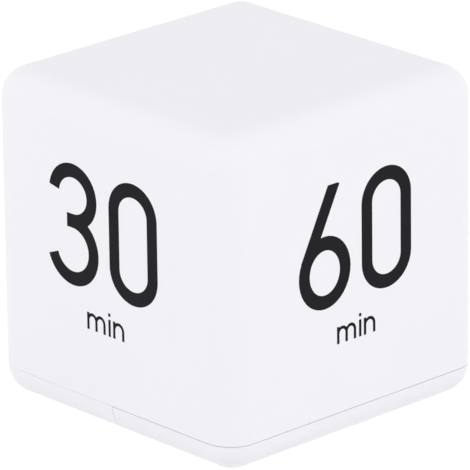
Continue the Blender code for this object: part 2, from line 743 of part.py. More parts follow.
def make_door_cuts():
    """Grooves for the door's rails and tongue, and the dimple of its latch."""
    groove_low_x = RAIL_HIGH_X - RAIL_LENGTH - FIT_GAP
    groove_tip_y = HALF - WALL - RAIL_DEPTH - FIT_GAP
    groove_low_z = RAIL_LOW_Z - FIT_GAP
    groove_high_z = RAIL_LOW_Z + RAIL_HEIGHT + FIT_GAP
    grooves = [
        box(
            f"base_shell_rail_groove_{name}",
            (groove_low_x, min(side * groove_tip_y, side * HALF), groove_low_z),
            (HALF, max(side * groove_tip_y, side * HALF), groove_high_z),
        )
        for name, side in (("front", -1), ("back", 1))
    ]
    tongue_top = WALL
    tongue_slot = box(
        "base_shell_tongue_slot",
        (DOOR_LOW_X - TONGUE_REACH - FIT_GAP, -TONGUE_WIDTH / 2 - FIT_GAP,
         tongue_top - TONGUE_THICKNESS - 2 * FIT_GAP),
        (DOOR_LOW_X + TONGUE_REACH, TONGUE_WIDTH / 2 + FIT_GAP, tongue_top),
    )
    latch_x = DOOR_LOW_X + LATCH_LENGTH
    dimple = box(
        "base_shell_latch_dimple",
        (latch_x - FIT_GAP, -LATCH_WIDTH / 2 - FIT_GAP, LEDGE_LOW - FIT_GAP / 2),
        (latch_x + LATCH_LENGTH + FIT_GAP, LATCH_WIDTH / 2 + FIT_GAP, LEDGE_LOW + LATCH_RISE),
    )
    return [*grooves, tongue_slot, dimple]


def make_floor_cuts():
    """Openings in the fixed floor: display, switch and buzzer."""
    pocket_depth = WINDOW_RECESS + WINDOW_THICKNESS + FIT_GAP
    lens_pocket = prism(
        "base_shell_lens_pocket",
        rounded_rectangle(
            (DISPLAY_X, 0),
            (WINDOW_WIDTH + 2 * FIT_GAP, WINDOW_LENGTH + 2 * FIT_GAP),
            WINDOW_CORNER + FIT_GAP,
        ),
        "Z", -CUT_OVERRUN, pocket_depth,
    )
    opening = prism(
        "base_shell_display_opening",
        rounded_rectangle(
            (DISPLAY_X, 0),
            (WINDOW_WIDTH - 2 * WINDOW_RIM, WINDOW_LENGTH - 2 * WINDOW_RIM),
            WINDOW_CORNER,
        ),
        "Z", -CUT_OVERRUN, FLOOR_TOP + CUT_OVERRUN,
    )
    recess = prism(
        "base_shell_switch_recess",
        rounded_rectangle(
            (SWITCH_X, SWITCH_Y),
            (KNOB_WIDTH + 2 * FIT_GAP, KNOB_LENGTH + SWITCH_TRAVEL + 2 * FIT_GAP),
            KNOB_CORNER + FIT_GAP,
        ),
        "Z", -CUT_OVERRUN, RECESS_DEPTH,
    )
    slot = prism(
        "base_shell_switch_slot",
        rounded_rectangle(
            (SWITCH_X, SWITCH_Y),
            (KNOB_STEM_WIDTH + 2 * FIT_GAP, KNOB_STEM_LENGTH + SWITCH_TRAVEL + 2 * FIT_GAP),
            FIT_GAP,
        ),
        "Z", -CUT_OVERRUN, FLOOR_TOP + CUT_OVERRUN,
    )
    ring = circle((BUZZER_X, BUZZER_Y), SOUND_RING_RADIUS, SOUND_RING_COUNT)
    sound_holes = prisms(
        "base_shell_sound_holes",
        [circle(place, SOUND_HOLE_RADIUS, SMALL_ROUND_STEPS) for place in [(BUZZER_X, BUZZER_Y), *ring]],
        "Z", -CUT_OVERRUN, FLOOR_TOP + CUT_OVERRUN,
    )
    return [lens_pocket, opening, recess, slot, sound_holes]


def make_screw_cuts():
    heads = prisms(
        "base_shell_screw_wells",
        [circle(place, CASE_HEAD_RADIUS + FIT_GAP, ROUND_STEPS) for place in CASE_SCREW_PLACES],
        "Z", -CUT_OVERRUN, CASE_HEAD_SEAT,
    )
    shafts = prisms(
        "base_shell_screw_holes",
        [circle(place, CASE_SCREW_RADIUS + FIT_GAP, SMALL_ROUND_STEPS) for place in CASE_SCREW_PLACES],
        "Z", CASE_HEAD_SEAT - CUT_OVERRUN, CASE_POST_TOP + CUT_OVERRUN,
    )
    pilots = prisms(
        "base_shell_board_holes",
        [circle(place, BOARD_SCREW_RADIUS + FIT_GAP, SMALL_ROUND_STEPS) for place in BOARD_SCREW_PLACES],
        "Z", BOARD_TOP - BOARD_SCREW_LENGTH - FIT_GAP, BOARD_TOP,
    )
    return [heads, shafts, pilots]


def screw_profile(shaft_radius, shaft_length, head_radius, head_height):
    """A pan head screw with its head up, its seat at height zero and its tip below."""
    tip = shaft_radius / 2
    crown = head_height / 3
    return [
        (0, -shaft_length),
        (tip, -shaft_length),
        (shaft_radius, tip - shaft_length),
        (shaft_radius, 0),
        (head_radius, 0),
        (head_radius, head_height - crown),
        (head_radius - crown, head_height),
        (0, head_height),
    ]


def make_screws(finish):
    profile = screw_profile(CASE_SCREW_RADIUS, CASE_SCREW_LENGTH, CASE_HEAD_RADIUS, CASE_HEAD_HEIGHT)
    upside_down = [(radius, -height) for radius, height in profile]
    for number, (x, y) in enumerate(CASE_SCREW_PLACES, 1):
        seat = (x, y, CASE_HEAD_SEAT - FIT_GAP)
        turned(f"case_screw_{number}", upside_down, seat, SMALL_ROUND_STEPS, finish=finish)
    profile = screw_profile(BOARD_SCREW_RADIUS, BOARD_SCREW_LENGTH, BOARD_HEAD_RADIUS, BOARD_HEAD_HEIGHT)
    for number, (x, y) in enumerate(BOARD_SCREW_PLACES, 1):
        turned(f"board_screw_{number}", profile, (x, y, PARTS_LOW), SMALL_ROUND_STEPS, finish=finish)


def make_display(clear, glass, frame_finish, rubber):
    window = prism(
        "display_window",
        rounded_rectangle((DISPLAY_X, 0), (WINDOW_WIDTH, WINDOW_LENGTH), WINDOW_CORNER),
        "Z", WINDOW_RECESS, WINDOW_RECESS + WINDOW_THICKNESS, clear,
    )
    half = GLASS_LENGTH / 2
    front = box("display_glass", (GLASS_LOW_X, -half, GLASS_LOW), (GLASS_HIGH_X, half, GLASS_STEP), glass)
    rear_low = GLASS_STEP - GLASS_THICKNESS / 3
    rear_low_x = GLASS_LOW_X + GLASS_LEDGE
    rear = box("display_glass_rear", (rear_low_x, -half, rear_low), (GLASS_HIGH_X, half, GLASS_TOP))
    join(front, rear)
    rounded_box(
        "display_connector",
        (CONNECTOR_X - CONNECTOR_WIDTH / 2, -CONNECTOR_LENGTH / 2, CONNECTOR_LOW),
        (CONNECTOR_X + CONNECTOR_WIDTH / 2, CONNECTOR_LENGTH / 2, BOARD_POST_TOP),
        CONNECTOR_WIDTH / 8, 2, rubber,
    )
    make_display_frame(frame_finish)
    return window


def make_display_frame(finish):
    """A frame around the glass with a web that holds it down and leaves room for the connector."""
    frame = prism(
        "display_frame",
        rounded_rectangle((DISPLAY_X, 0), (FRAME_OUTER_WIDTH, FRAME_OUTER_LENGTH), FRAME_WALL),
        "Z", GLASS_LOW, BOARD_POST_TOP, finish,
    )
    inner = rounded_rectangle(
        (DISPLAY_X, 0), (GLASS_WIDTH + 2 * FIT_GAP, GLASS_LENGTH + 2 * FIT_GAP), FIT_GAP
    )
    lower = prism("display_frame_lower_room", inner, "Z", GLASS_LOW - CUT_OVERRUN, WEB_LOW)
    upper = prism("display_frame_upper_room", inner, "Z", WEB_TOP, BOARD_POST_TOP + CUT_OVERRUN)
    connector_slot = prism(
        "display_frame_connector_slot",
        rounded_rectangle(
            (CONNECTOR_X, 0), (CONNECTOR_WIDTH + 2 * FIT_GAP, CONNECTOR_LENGTH + 2 * FIT_GAP), FIT_GAP
        ),
        "Z", GLASS_TOP, BOARD_POST_TOP,
    )
    web_low_x = GLASS_LOW_X + GLASS_LEDGE + FRAME_WALL
    web_width = GLASS_HIGH_X - FRAME_WALL - web_low_x
    web_window = prism(
        "display_frame_web_window",
        rounded_rectangle(
            (web_low_x + web_width / 2, 0), (web_width, GLASS_LENGTH - 4 * FRAME_WALL), FRAME_WALL
        ),
        "Z", GLASS_TOP, BOARD_POST_TOP,
    )
    cut(frame, lower, upper, connector_slot, web_window)


def make_board(finish):
    board = prism(
        "main_board",
        rounded_rectangle(
            ((BOARD_LOW_X + BOARD_HIGH_X) / 2, 0),
            (BOARD_HIGH_X - BOARD_LOW_X, 2 * BOARD_HALF_WIDTH),
            BOARD_CORNER,
        ),
        "Z", BOARD_LOW, BOARD_TOP, finish,
    )
    holes = prisms(
        "main_board_screw_holes",
        [circle(place, BOARD_SCREW_RADIUS + FIT_GAP, SMALL_ROUND_STEPS) for place in BOARD_SCREW_PLACES],
        "Z", BOARD_LOW - CUT_OVERRUN, BOARD_TOP + CUT_OVERRUN,
    )
    cut(board, holes)


def make_board_parts(epoxy, metal, sleeve, ceramic):
    quarter = [math.pi / 2 * ring / BLOB_RINGS for ring in range(BLOB_RINGS + 1)]
    dome = [(0, 0)]
    dome += [(BLOB_RADIUS * math.cos(t), BLOB_HEIGHT * math.sin(t)) for t in quarter[:-1]]
    dome.append((0, BLOB_HEIGHT))
    turned("controller_blob", dome, (BLOB_X, BLOB_Y, PARTS_LOW), finish=epoxy)

    can = [
        (0, 0),
        (CRYSTAL_RADIUS - CRYSTAL_EDGE, 0),
        (CRYSTAL_RADIUS, CRYSTAL_EDGE),
        (CRYSTAL_RADIUS, CRYSTAL_LENGTH - CRYSTAL_EDGE),
        (CRYSTAL_RADIUS - CRYSTAL_EDGE, CRYSTAL_LENGTH),
        (0, CRYSTAL_LENGTH),
    ]
    can_place = (CRYSTAL_X, CRYSTAL_Y - CRYSTAL_LENGTH / 2, PARTS_LOW + CRYSTAL_RADIUS)
    turned("timing_crystal", can, can_place, SMALL_ROUND_STEPS, axis="Y", finish=metal)

    groove_radius = CAPACITOR_RADIUS - CAPACITOR_GROOVE
    jar = [
        (0, 0),
        (CAPACITOR_RADIUS - CAPACITOR_GROOVE / 2, 0),
        (CAPACITOR_RADIUS, CAPACITOR_GROOVE / 2),
        (CAPACITOR_RADIUS, CAPACITOR_GROOVE_RISE - CAPACITOR_GROOVE),
        (groove_radius, CAPACITOR_GROOVE_RISE),
        (CAPACITOR_RADIUS, CAPACITOR_GROOVE_RISE + CAPACITOR_GROOVE),
        (CAPACITOR_RADIUS, CAPACITOR_HEIGHT - CAPACITOR_GROOVE),
        (groove_radius, CAPACITOR_HEIGHT),
        (0, CAPACITOR_HEIGHT),
    ]
    turned("filter_capacitor", jar, (CAPACITOR_X, CAPACITOR_Y, PARTS_LOW), finish=sleeve)

    for number in range(RESISTOR_COUNT):
        low_x = RESISTOR_X - RESISTOR_LENGTH / 2
        low_y = RESISTOR_Y + number * RESISTOR_PITCH - RESISTOR_WIDTH / 2
        rounded_box(
            f"chip_resistor_{number + 1}",
            (low_x, low_y, PARTS_LOW),
            (low_x + RESISTOR_LENGTH, low_y + RESISTOR_WIDTH, PARTS_LOW + RESISTOR_HEIGHT),
            RESISTOR_EDGE, 2, ceramic,
        )


def make_tilt_sensor(plastic, brass, steel):
    """A cage with a cross-shaped pocket, a contact at each arm's end, and the ball that joins them."""
    centre = (SENSOR_X, SENSOR_Y)
    square = rounded_rectangle(centre, (2 * CAGE_HALF, 2 * CAGE_HALF), SENSOR_CORNER)
    cage = prism("sensor_cage", square, "Z", PARTS_LOW, CAGE_TOP, plastic)
    pocket = prism(
        "sensor_cage_pocket",
        cross(centre, ARM_HALF_LENGTH, ARM_HALF_WIDTH),
        "Z", CAGE_FLOOR_TOP, CAGE_TOP + CUT_OVERRUN,
    )
    cut(cage, pocket)
    prism("sensor_lid", square, "Z", LID_LOW, LID_LOW + SENSOR_LID, plastic)
    common = cross(centre, CONTACT_INNER - FIT_GAP, ARM_HALF_WIDTH - FIT_GAP)
    prism("sensor_common_plate", common, "Z", COMMON_LOW, COMMON_TOP, brass)
    for number in range(4):
        turn = Matrix.Rotation(number * math.pi / 2, 2)
        reach = ARM_HALF_WIDTH - FIT_GAP
        corners = rectangle((CONTACT_INNER, -reach), (CONTACT_OUTER, reach))
        outline = [Vector(centre) + turn @ Vector(corner) for corner in corners]
        prism(f"sensor_contact_{number + 1}", outline, "Z", COMMON_LOW, CAGE_TOP - FIT_GAP, brass)
    mesh_data = bmesh.new()
    ball_place = Matrix.Translation((SENSOR_X, SENSOR_Y, BALL_Z))
    bmesh.ops.create_uvsphere(
        mesh_data,
        u_segments=ROUND_STEPS,
        v_segments=SMALL_ROUND_STEPS,
        radius=BALL_RADIUS,
        matrix=ball_place,
    )
    ball = object_from(mesh_data, "sensor_ball", steel)
    hang_on("ball_axis", ball_place.translation, ball)


def make_switch(metal, plastic, knob_finish, board_finish):
    """The slide switch on the board's underside, and the knob that reaches it through the floor."""
    half_x = SWITCH_FRAME_WIDTH / 2
    half_y = SWITCH_FRAME_LENGTH / 2
    frame = box(
        "switch_frame",
        (SWITCH_X - half_x, SWITCH_Y - half_y, SWITCH_FRAME_LOW),
        (SWITCH_X + half_x, SWITCH_Y + half_y, BOARD_POST_TOP),
        metal,
    )
    room_x = half_x - SWITCH_SHEET
    room_y = half_y - SWITCH_SHEET
    room = box(
        "switch_frame_room",
        (SWITCH_X - room_x, SWITCH_Y - room_y, SWITCH_CAVITY_LOW),
        (SWITCH_X + room_x, SWITCH_Y + room_y, BOARD_POST_TOP + CUT_OVERRUN),
    )
    slot = prism(
        "switch_frame_slot",
        rounded_rectangle(
            (SWITCH_X, SWITCH_Y),
            (STALK_WIDTH + 2 * FIT_GAP, STALK_LENGTH + SWITCH_TRAVEL + 2 * FIT_GAP),
            FIT_GAP,
        ),
        "Z", SWITCH_FRAME_LOW - CUT_OVERRUN, SWITCH_CAVITY_LOW + FIT_GAP,
    )
    cut(frame, room, slot)
    base_x = room_x - FIT_GAP
    base_y = room_y - FIT_GAP
    box(
        "switch_base",
        (SWITCH_X - base_x, SWITCH_Y - base_y, SWITCH_BASE_LOW),
        (SWITCH_X + base_x, SWITCH_Y + base_y, SWITCH_BASE_TOP),
        board_finish,
    )
    slider = box(
        "switch_slider",
        (SWITCH_X - SLIDER_WIDTH / 2, SWITCH_REST_Y - SLIDER_LENGTH / 2, SLIDER_LOW),
        (SWITCH_X + SLIDER_WIDTH / 2, SWITCH_REST_Y + SLIDER_LENGTH / 2, SLIDER_TOP),
        plastic,
    )
    stalk = box(
        "switch_slider_stalk",
        (SWITCH_X - STALK_WIDTH / 2, SWITCH_REST_Y - STALK_LENGTH / 2, STALK_LOW),
        (SWITCH_X + STALK_WIDTH / 2, SWITCH_REST_Y + STALK_LENGTH / 2, SLIDER_LOW + JOIN_OVERLAP),
    )
    join(slider, stalk)
    hang_on("switch_axis", (SWITCH_X, SWITCH_REST_Y, FLOOR_TOP), slider, make_knob(knob_finish))


def make_knob(finish):
    """A ridged cap in the recess of the floor, with a socket for the slider's stalk in its stem."""
    knob = prism(
        "switch_knob",
        rounded_rectangle((SWITCH_X, SWITCH_REST_Y), (KNOB_WIDTH, KNOB_LENGTH), KNOB_CORNER),
        "Z", KNOB_RECESS, KNOB_TOP, finish,
    )
    stem_x = KNOB_STEM_WIDTH / 2
    stem_y = KNOB_STEM_LENGTH / 2
    stem = box(
        "switch_knob_stem",
        (SWITCH_X - stem_x, SWITCH_REST_Y - stem_y, KNOB_TOP - KNOB_THICKNESS / 2),
        (SWITCH_X + stem_x, SWITCH_REST_Y + stem_y, KNOB_STEM_TOP),
    )
    socket_x = STALK_WIDTH / 2 + FIT_GAP
    socket_y = STALK_LENGTH / 2 + FIT_GAP
    socket = box(
        "switch_knob_socket",
        (SWITCH_X - socket_x, SWITCH_REST_Y - socket_y, STALK_LOW - FIT_GAP),
        (SWITCH_X + socket_x, SWITCH_REST_Y + socket_y, KNOB_STEM_TOP + CUT_OVERRUN),
    )
    groove_half = KNOB_RIDGE_WIDTH / 2
    first_y = SWITCH_REST_Y - (KNOB_RIDGE_COUNT - 1) * KNOB_RIDGE_PITCH / 2
    groove_rows = [first_y + number * KNOB_RIDGE_PITCH for number in range(KNOB_RIDGE_COUNT)]
    grooves = prisms(
        "switch_knob_grooves",
        [
            rectangle((SWITCH_X - KNOB_WIDTH, y - groove_half), (SWITCH_X + KNOB_WIDTH, y + groove_half))
            for y in groove_rows
        ],
        "Z", -KNOB_RECESS, KNOB_RECESS + KNOB_RIDGE_DEPTH,
    )
    join(knob, stem)
    cut(knob, socket, grooves)
    return knob


def make_buzzer(plastic, brass):
    height = BUZZER_TOP - BUZZER_LOW
    cup = [
        (BUZZER_PORT_RADIUS, 0),
        (BUZZER_RADIUS, 0),
        (BUZZER_RADIUS, height),
        (BUZZER_BORE, height),
        (BUZZER_BORE, BUZZER_SHELF_RISE),
        (BUZZER_SHELF_RADIUS, BUZZER_SHELF_RISE),
        (BUZZER_SHELF_RADIUS, BUZZER_WALL),
        (BUZZER_PORT_RADIUS, BUZZER_WALL),
    ]
    turned("buzzer_case", cup, (BUZZER_X, BUZZER_Y, BUZZER_LOW), closed=True, finish=plastic)
    disc_radius = BUZZER_BORE - FIT_GAP
    disc = [
        (0, 0),
        (disc_radius, 0),
        (disc_radius, DISC_THICKNESS),
        (CERAMIC_RADIUS, DISC_THICKNESS),
        (CERAMIC_RADIUS, DISC_THICKNESS + CERAMIC_THICKNESS),
        (0, DISC_THICKNESS + CERAMIC_THICKNESS),
    ]
    turned("buzzer_disc", disc, (BUZZER_X, BUZZER_Y, BUZZER_SHELF + FIT_GAP), finish=brass)


def make_cells(jacket):
    """Two cells side by side along Y, pointing opposite ways."""
    shoulder = CELL_LENGTH - CELL_BUTTON_LENGTH
    profile = [
        (0, 0),
        (CELL_RADIUS - CELL_EDGE, 0),
        (CELL_RADIUS, CELL_EDGE),
        (CELL_RADIUS, shoulder - CELL_EDGE),
        (CELL_RADIUS - CELL_EDGE, shoulder),
        (CELL_BUTTON_RADIUS, shoulder),
        (CELL_BUTTON_RADIUS, CELL_LENGTH - CELL_EDGE / 2),
        (CELL_BUTTON_RADIUS - CELL_EDGE / 2, CELL_LENGTH),
        (0, CELL_LENGTH),
    ]
    minus_y = CONTACT_HALF_SPAN - CELL_LENGTH
    turned("battery_cell_1", profile, (CELL_1_X, minus_y, CELL_Z), axis="Y", finish=jacket)
    turned("battery_cell_2", profile, (CELL_2_X, -minus_y, CELL_Z), axis="-Y", finish=jacket)


def tagged_plate(x):
    """Outline of a contact plate with a solder tag that passes the roof of the bay."""
    low = CELL_Z - PLATE_DROP
    shoulder = CELL_Z + PLATE_RISE
    return [
        (x - PLATE_HALF_WIDTH, low),
        (x + PLATE_HALF_WIDTH, low),
        (x + PLATE_HALF_WIDTH, shoulder - PLATE_CORNER),
        (x + PLATE_HALF_WIDTH - PLATE_CORNER, shoulder),
        (x + TAG_HALF_WIDTH, shoulder),
        (x + TAG_HALF_WIDTH, TAG_TOP),
        (x - TAG_HALF_WIDTH, TAG_TOP),
        (x - TAG_HALF_WIDTH, shoulder),
        (x - PLATE_HALF_WIDTH + PLATE_CORNER, shoulder),
        (x - PLATE_HALF_WIDTH, shoulder - PLATE_CORNER),
    ]


def spring_points(x, start_y, end_y):
    """The middle line of a conical spring along Y, wide at its start."""
    count = round(SPRING_TURNS * SPRING_POINTS_PER_TURN)
    points = []
    for step in range(count + 1):
        share = step / count
        turn = math.tau * SPRING_TURNS * share
        radius = SPRING_WIDE_RADIUS + (SPRING_NARROW_RADIUS - SPRING_WIDE_RADIUS) * share
        y = start_y + (end_y - start_y) * share
        points.append(Vector((x + radius * math.cos(turn), y, CELL_Z + radius * math.sin(turn))))
    return points


def least_gap(points, radius, points_per_turn):
    """The least clear distance from one turn of a wire to another, between its points."""
    apart = points_per_turn // 2
    distances = [
        (one - other).length
        for number, one in enumerate(points)
        for other in points[number + apart:]
    ]
    return min(distances) - 2 * radius


def make_contacts(metal):
    plate_inner = PLATE_OUTER_Y - PLATE_THICKNESS
    prism("contact_plus_plate", tagged_plate(CELL_2_X), "Y", -PLATE_OUTER_Y, -plate_inner, metal)
    prism("contact_minus_plate", tagged_plate(CELL_1_X), "Y", -PLATE_OUTER_Y, -plate_inner, metal)
    bridge_low = CELL_Z - PLATE_DROP
    bridge_high = CELL_Z + PLATE_CORNER
    bridge = rounded_rectangle(
        ((CELL_1_X + CELL_2_X) / 2, (bridge_low + bridge_high) / 2),
        (CELL_2_X - CELL_1_X + 2 * PLATE_HALF_WIDTH, bridge_high - bridge_low),
        PLATE_CORNER,
    )
    prism("contact_bridge_plate", bridge, "Y", plate_inner, PLATE_OUTER_Y, metal)
    wire = SPRING_WIRE / 2
    start = plate_inner - FIT_GAP - wire
    end = CELL_LENGTH - CONTACT_HALF_SPAN + FIT_GAP + wire
    for name, x, side in (("contact_minus_spring", CELL_1_X, -1), ("contact_bridge_spring", CELL_2_X, 1)):
        points = spring_points(x, side * start, side * end)
        print(f"{name}: least gap {least_gap(points, wire, SPRING_POINTS_PER_TURN) * 1000:.2f} mm")
        tube(name, points, wire, 1, metal)


def smooth_route(route):
    """Points along a smooth curve through the route's own points."""
    ends = [2 * route[0] - route[1], *route, 2 * route[-1] - route[-2]]
    points = []
    for before, start, end, after in zip(ends, ends[1:], ends[2:], ends[3:]):
        for step in range(LEAD_STEPS):
            t = step / LEAD_STEPS
            points.append(
                (2 * start + (end - before) * t + (2 * before - 5 * start + 4 * end - after) * t * t
                 + (3 * start - before - 3 * end + after) * t ** 3) / 2
            )
    points.append(route[-1])
    return points


def make_lead(name, tag_x, cross_y, pad_y, finish):
    """A lead from a contact tag over the roof of the bay and down to its pad on the board."""
    cross_x = (tag_x + BAY_BLOCK_LOW_X) / 2
    route = [
        Vector((tag_x, LEAD_START_Y, LEAD_ROOF_Z)),
        Vector((tag_x, LEAD_START_Y + LEAD_START_RUN, LEAD_ROOF_Z)),
        Vector((cross_x, cross_y, LEAD_ROOF_Z)),
        Vector((BAY_BLOCK_LOW_X, (cross_y + pad_y) / 2, LEAD_ROOF_Z)),
        Vector((LEAD_PAD_X, pad_y, LEAD_ROOF_Z - LEAD_TURN)),
        Vector((LEAD_PAD_X, pad_y, PARTS_LOW + LEAD_PAD_RISE / 2)),
        Vector((LEAD_PAD_X, pad_y, PARTS_LOW)),
    ]
    tube(name, smooth_route(route), LEAD_RADIUS, 2, finish)


def make_leads(red, black):
    make_lead("battery_lead_red", CELL_2_X, RED_CROSS_Y, RED_PAD_Y, red)
    make_lead("battery_lead_black", CELL_1_X, BLACK_CROSS_Y, BLACK_PAD_Y, black)


def main():
    clear_scene()
    white = material("white plastic", (0.90, 0.90, 0.92), 0.45)
    grey = material("grey plastic", (0.55, 0.56, 0.58), 0.5)
    dark = material("dark plastic", (0.05, 0.05, 0.055), 0.5)
    clear = material("clear plastic", (0.85, 0.88, 0.88), 0.1)
    glass = material("display glass", (0.45, 0.52, 0.46), 0.15)
    rubber = material("black rubber", (0.03, 0.03, 0.03), 0.8)
    laminate = material("green laminate", (0.05, 0.25, 0.12), 0.45)
    steel = material("plated steel", (0.75, 0.75, 0.77), 0.25, 1.0)
    brass = material("brass", (0.83, 0.66, 0.32), 0.3, 1.0)
    jacket = material("cell jacket", (0.12, 0.13, 0.15), 0.35)
    red = material("red sleeve", (0.65, 0.04, 0.03), 0.45)

    make_top_shell(white)
    make_base_shell(white)
    door = make_battery_door(white)
    hang_on("door_axis", (DOOR_EDGE_X, 0, 0), door)
    make_screws(steel)
    make_display(clear, glass, white, rubber)
    make_board(laminate)
    make_board_parts(dark, steel, dark, dark)
    make_tilt_sensor(grey, brass, steel)
    make_switch(steel, dark, grey, laminate)
    make_buzzer(dark, brass)
    make_cells(jacket)
    make_contacts(steel)
    make_leads(red, rubber)


main()
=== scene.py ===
# %% [markdown]
# # A cube timer on its measured frame
#
# The timer is a white plastic cube, 63 mm on each side. It starts counting when one of its
# numbered faces is turned up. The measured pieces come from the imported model, and this script
# gives them their finish, replaces the case with finer mouldings, and adds printing and small
# details. Lengths are in metres, +Z is up, and the face with the 30 looks towards -Y.

# %% Load the frame
import math

import bmesh
import bpy
import numpy as np
from mathutils import Matrix, Vector


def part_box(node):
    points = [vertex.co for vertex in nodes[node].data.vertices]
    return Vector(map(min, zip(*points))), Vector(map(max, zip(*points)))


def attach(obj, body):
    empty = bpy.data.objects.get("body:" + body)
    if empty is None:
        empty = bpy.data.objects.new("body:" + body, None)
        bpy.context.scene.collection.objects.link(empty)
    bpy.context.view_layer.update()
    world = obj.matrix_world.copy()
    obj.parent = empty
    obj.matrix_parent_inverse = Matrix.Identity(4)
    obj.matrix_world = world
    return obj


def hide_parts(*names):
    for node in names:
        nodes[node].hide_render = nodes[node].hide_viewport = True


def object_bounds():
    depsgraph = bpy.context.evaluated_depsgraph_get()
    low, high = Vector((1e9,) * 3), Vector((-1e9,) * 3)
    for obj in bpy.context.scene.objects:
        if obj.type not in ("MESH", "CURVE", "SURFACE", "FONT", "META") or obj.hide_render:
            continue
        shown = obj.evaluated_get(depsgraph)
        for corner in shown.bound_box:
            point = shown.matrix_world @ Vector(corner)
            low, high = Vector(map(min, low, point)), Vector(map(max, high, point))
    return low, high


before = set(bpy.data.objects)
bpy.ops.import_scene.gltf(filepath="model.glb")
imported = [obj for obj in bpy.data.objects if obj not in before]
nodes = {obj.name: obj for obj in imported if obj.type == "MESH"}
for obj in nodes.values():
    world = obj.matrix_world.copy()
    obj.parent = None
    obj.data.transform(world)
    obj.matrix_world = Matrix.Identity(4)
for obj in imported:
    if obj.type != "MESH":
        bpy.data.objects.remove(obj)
cad_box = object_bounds()
MM = 0.001
MERGE = 1e-6  # corners that are nearer than this are one corner
SIDE = cad_box[1].x - cad_box[0].x
HALF = SIDE / 2
print(f"{len(nodes)} measured pieces, a cube of {SIDE / MM:.1f} mm")

# %% [markdown]
# ## Node helpers
#
# Materials and Geometry Nodes are both trees of nodes. They could be drawn by hand in the
# editor. Written as a script they can be read from top to bottom. So what leaves a node is
# wrapped as a flow: a sum such as 2 * flow + 1 adds the math nodes for it, and flow.to(...)
# sends a geometry on into the next node.

# %% Node helpers
class Flow:
    """One output of a node."""

    def __init__(self, socket):
        self.socket = socket
        self.tree = socket.id_data

    def to(self, kind, inputs=None, out=0, **options):
        """Sends a geometry into the first input of a new Geometry Nodes node."""
        return shape(self.tree, kind, {0: self, **(inputs or {})}, out, **options)


def fill(node, inputs):
    """Gives each named input a plain value, a flow, or a list of flows."""
    for label, value in inputs.items():
        if isinstance(value, (Flow, list)):
            for flow in value if isinstance(value, list) else [value]:
                node.id_data.links.new(flow.socket, node.inputs[label])
        else:
            node.inputs[label].default_value = value
    return node


def add_node(tree, kind, inputs=None, **options):
    """Adds a node, sets its options and fills its inputs."""
    node = tree.nodes.new(kind)
    for option, value in options.items():
        setattr(node, option, value)
    return fill(node, inputs or {})


def shape(tree, kind, inputs=None, out=0, **options):
    """One output of a new Geometry Nodes node."""
    return Flow(add_node(tree, f"GeometryNode{kind}", inputs, **options).outputs[out])


def shader(tree, kind, inputs=None, out=0, **options):
    """One output of a new shader node."""
    return Flow(add_node(tree, f"ShaderNode{kind}", inputs, **options).outputs[out])


# %% Sums and vectors
def calc(operation, *values):
    """A math node, or a vector math node where a vector goes in."""
    flows = [value for value in values if isinstance(value, Flow)]
    kind = "VectorMath" if any(flow.socket.type == "VECTOR" for flow in flows) else "Math"
    return shader(flows[0].tree, kind, dict(enumerate(values)), operation=operation)


def write_sum(sign, operation):
    """Lets a flow stand on either side of a sign of Python."""
    setattr(Flow, f"__{sign}__", lambda left, right: calc(operation, left, right))
    setattr(Flow, f"__r{sign}__", lambda right, left: calc(operation, left, right))


for sign, operation in {"add": "ADD", "sub": "SUBTRACT", "mul": "MULTIPLY",
                        "truediv": "DIVIDE"}.items():
    write_sum(sign, operation)


def vector(**parts):
    """A vector from the named ones of X, Y and Z."""
    tree = next(part.tree for part in parts.values() if isinstance(part, Flow))
    return shader(tree, "CombineXYZ", parts)


def parts_of(flow):
    """The X, Y and Z of a vector."""
    return [Flow(part) for part in add_node(flow.tree, "ShaderNodeSeparateXYZ", {0: flow}).outputs]


# %% [markdown]
# ## Satin white plastic
#
# The real case is moulded in a steel mould whose faces were etched very finely, so that the
# plastic looks satin and hides fingerprints. A flat white would look like paper. Here one noise
# of fifth-millimetre grains gives the relief, and slow noises let the roughness and the tone
# drift a little over centimetres, as a real moulding does near its ribs.

# %% Plastic from an etched mould
def spread(value, low, high):
    """Maps a noise, which stays near the middle of 0 to 1, to a range."""
    limits = {"From Min": 0.3, "From Max": 0.7, "To Min": low, "To Max": high}
    return shader(value.tree, "MapRange", {"Value": value, **limits})


def noise(tree, grain, detail=2.0):
    """Noise on Object coordinates whose grains are about as large as named, in metres."""
    place = shader(tree, "TexCoord", out="Object")
    sizes = {"Vector": place, "Scale": 1 / grain, "Detail": detail}
    return shader(tree, "TexNoise", sizes, out="Fac")


def bump(height, relief):
    inputs = {"Height": height, "Distance": relief, "Strength": 1.0}
    return shader(height.tree, "Bump", inputs, out="Normal")


def two_tones(factor, dark, light):
    inputs = {"Factor": factor, 6: (*dark, 1), 7: (*light, 1)}
    return shader(factor.tree, "Mix", inputs, out=2, data_type="RGBA")


def new_material(name):
    material = bpy.data.materials.new(name)
    material.use_nodes = True
    return material, material.node_tree, material.node_tree.nodes["Principled BSDF"]


def moulded_plastic(name, colour, roughness, grain=0.2 * MM, relief=2e-6, drift=0.02, mirror=0.5):
    material, tree, surface = new_material(name)
    darker = [channel * (1 - drift) for channel in colour]
    lighter = [min(channel * (1 + drift), 1) for channel in colour]
    fill(surface, {
        "Base Color": two_tones(spread(noise(tree, 18 * MM), 0, 1), darker, lighter),
        "Roughness": spread(noise(tree, 6 * MM), roughness - 0.03, roughness + 0.03),
        "Normal": bump(noise(tree, grain), relief),
        "Specular IOR Level": mirror,
    })
    return material


white_plastic = moulded_plastic(
    "satin white plastic", (0.876, 0.870, 0.912), 0.42, drift=0.004, mirror=0.3)
print("finish:", white_plastic.name)

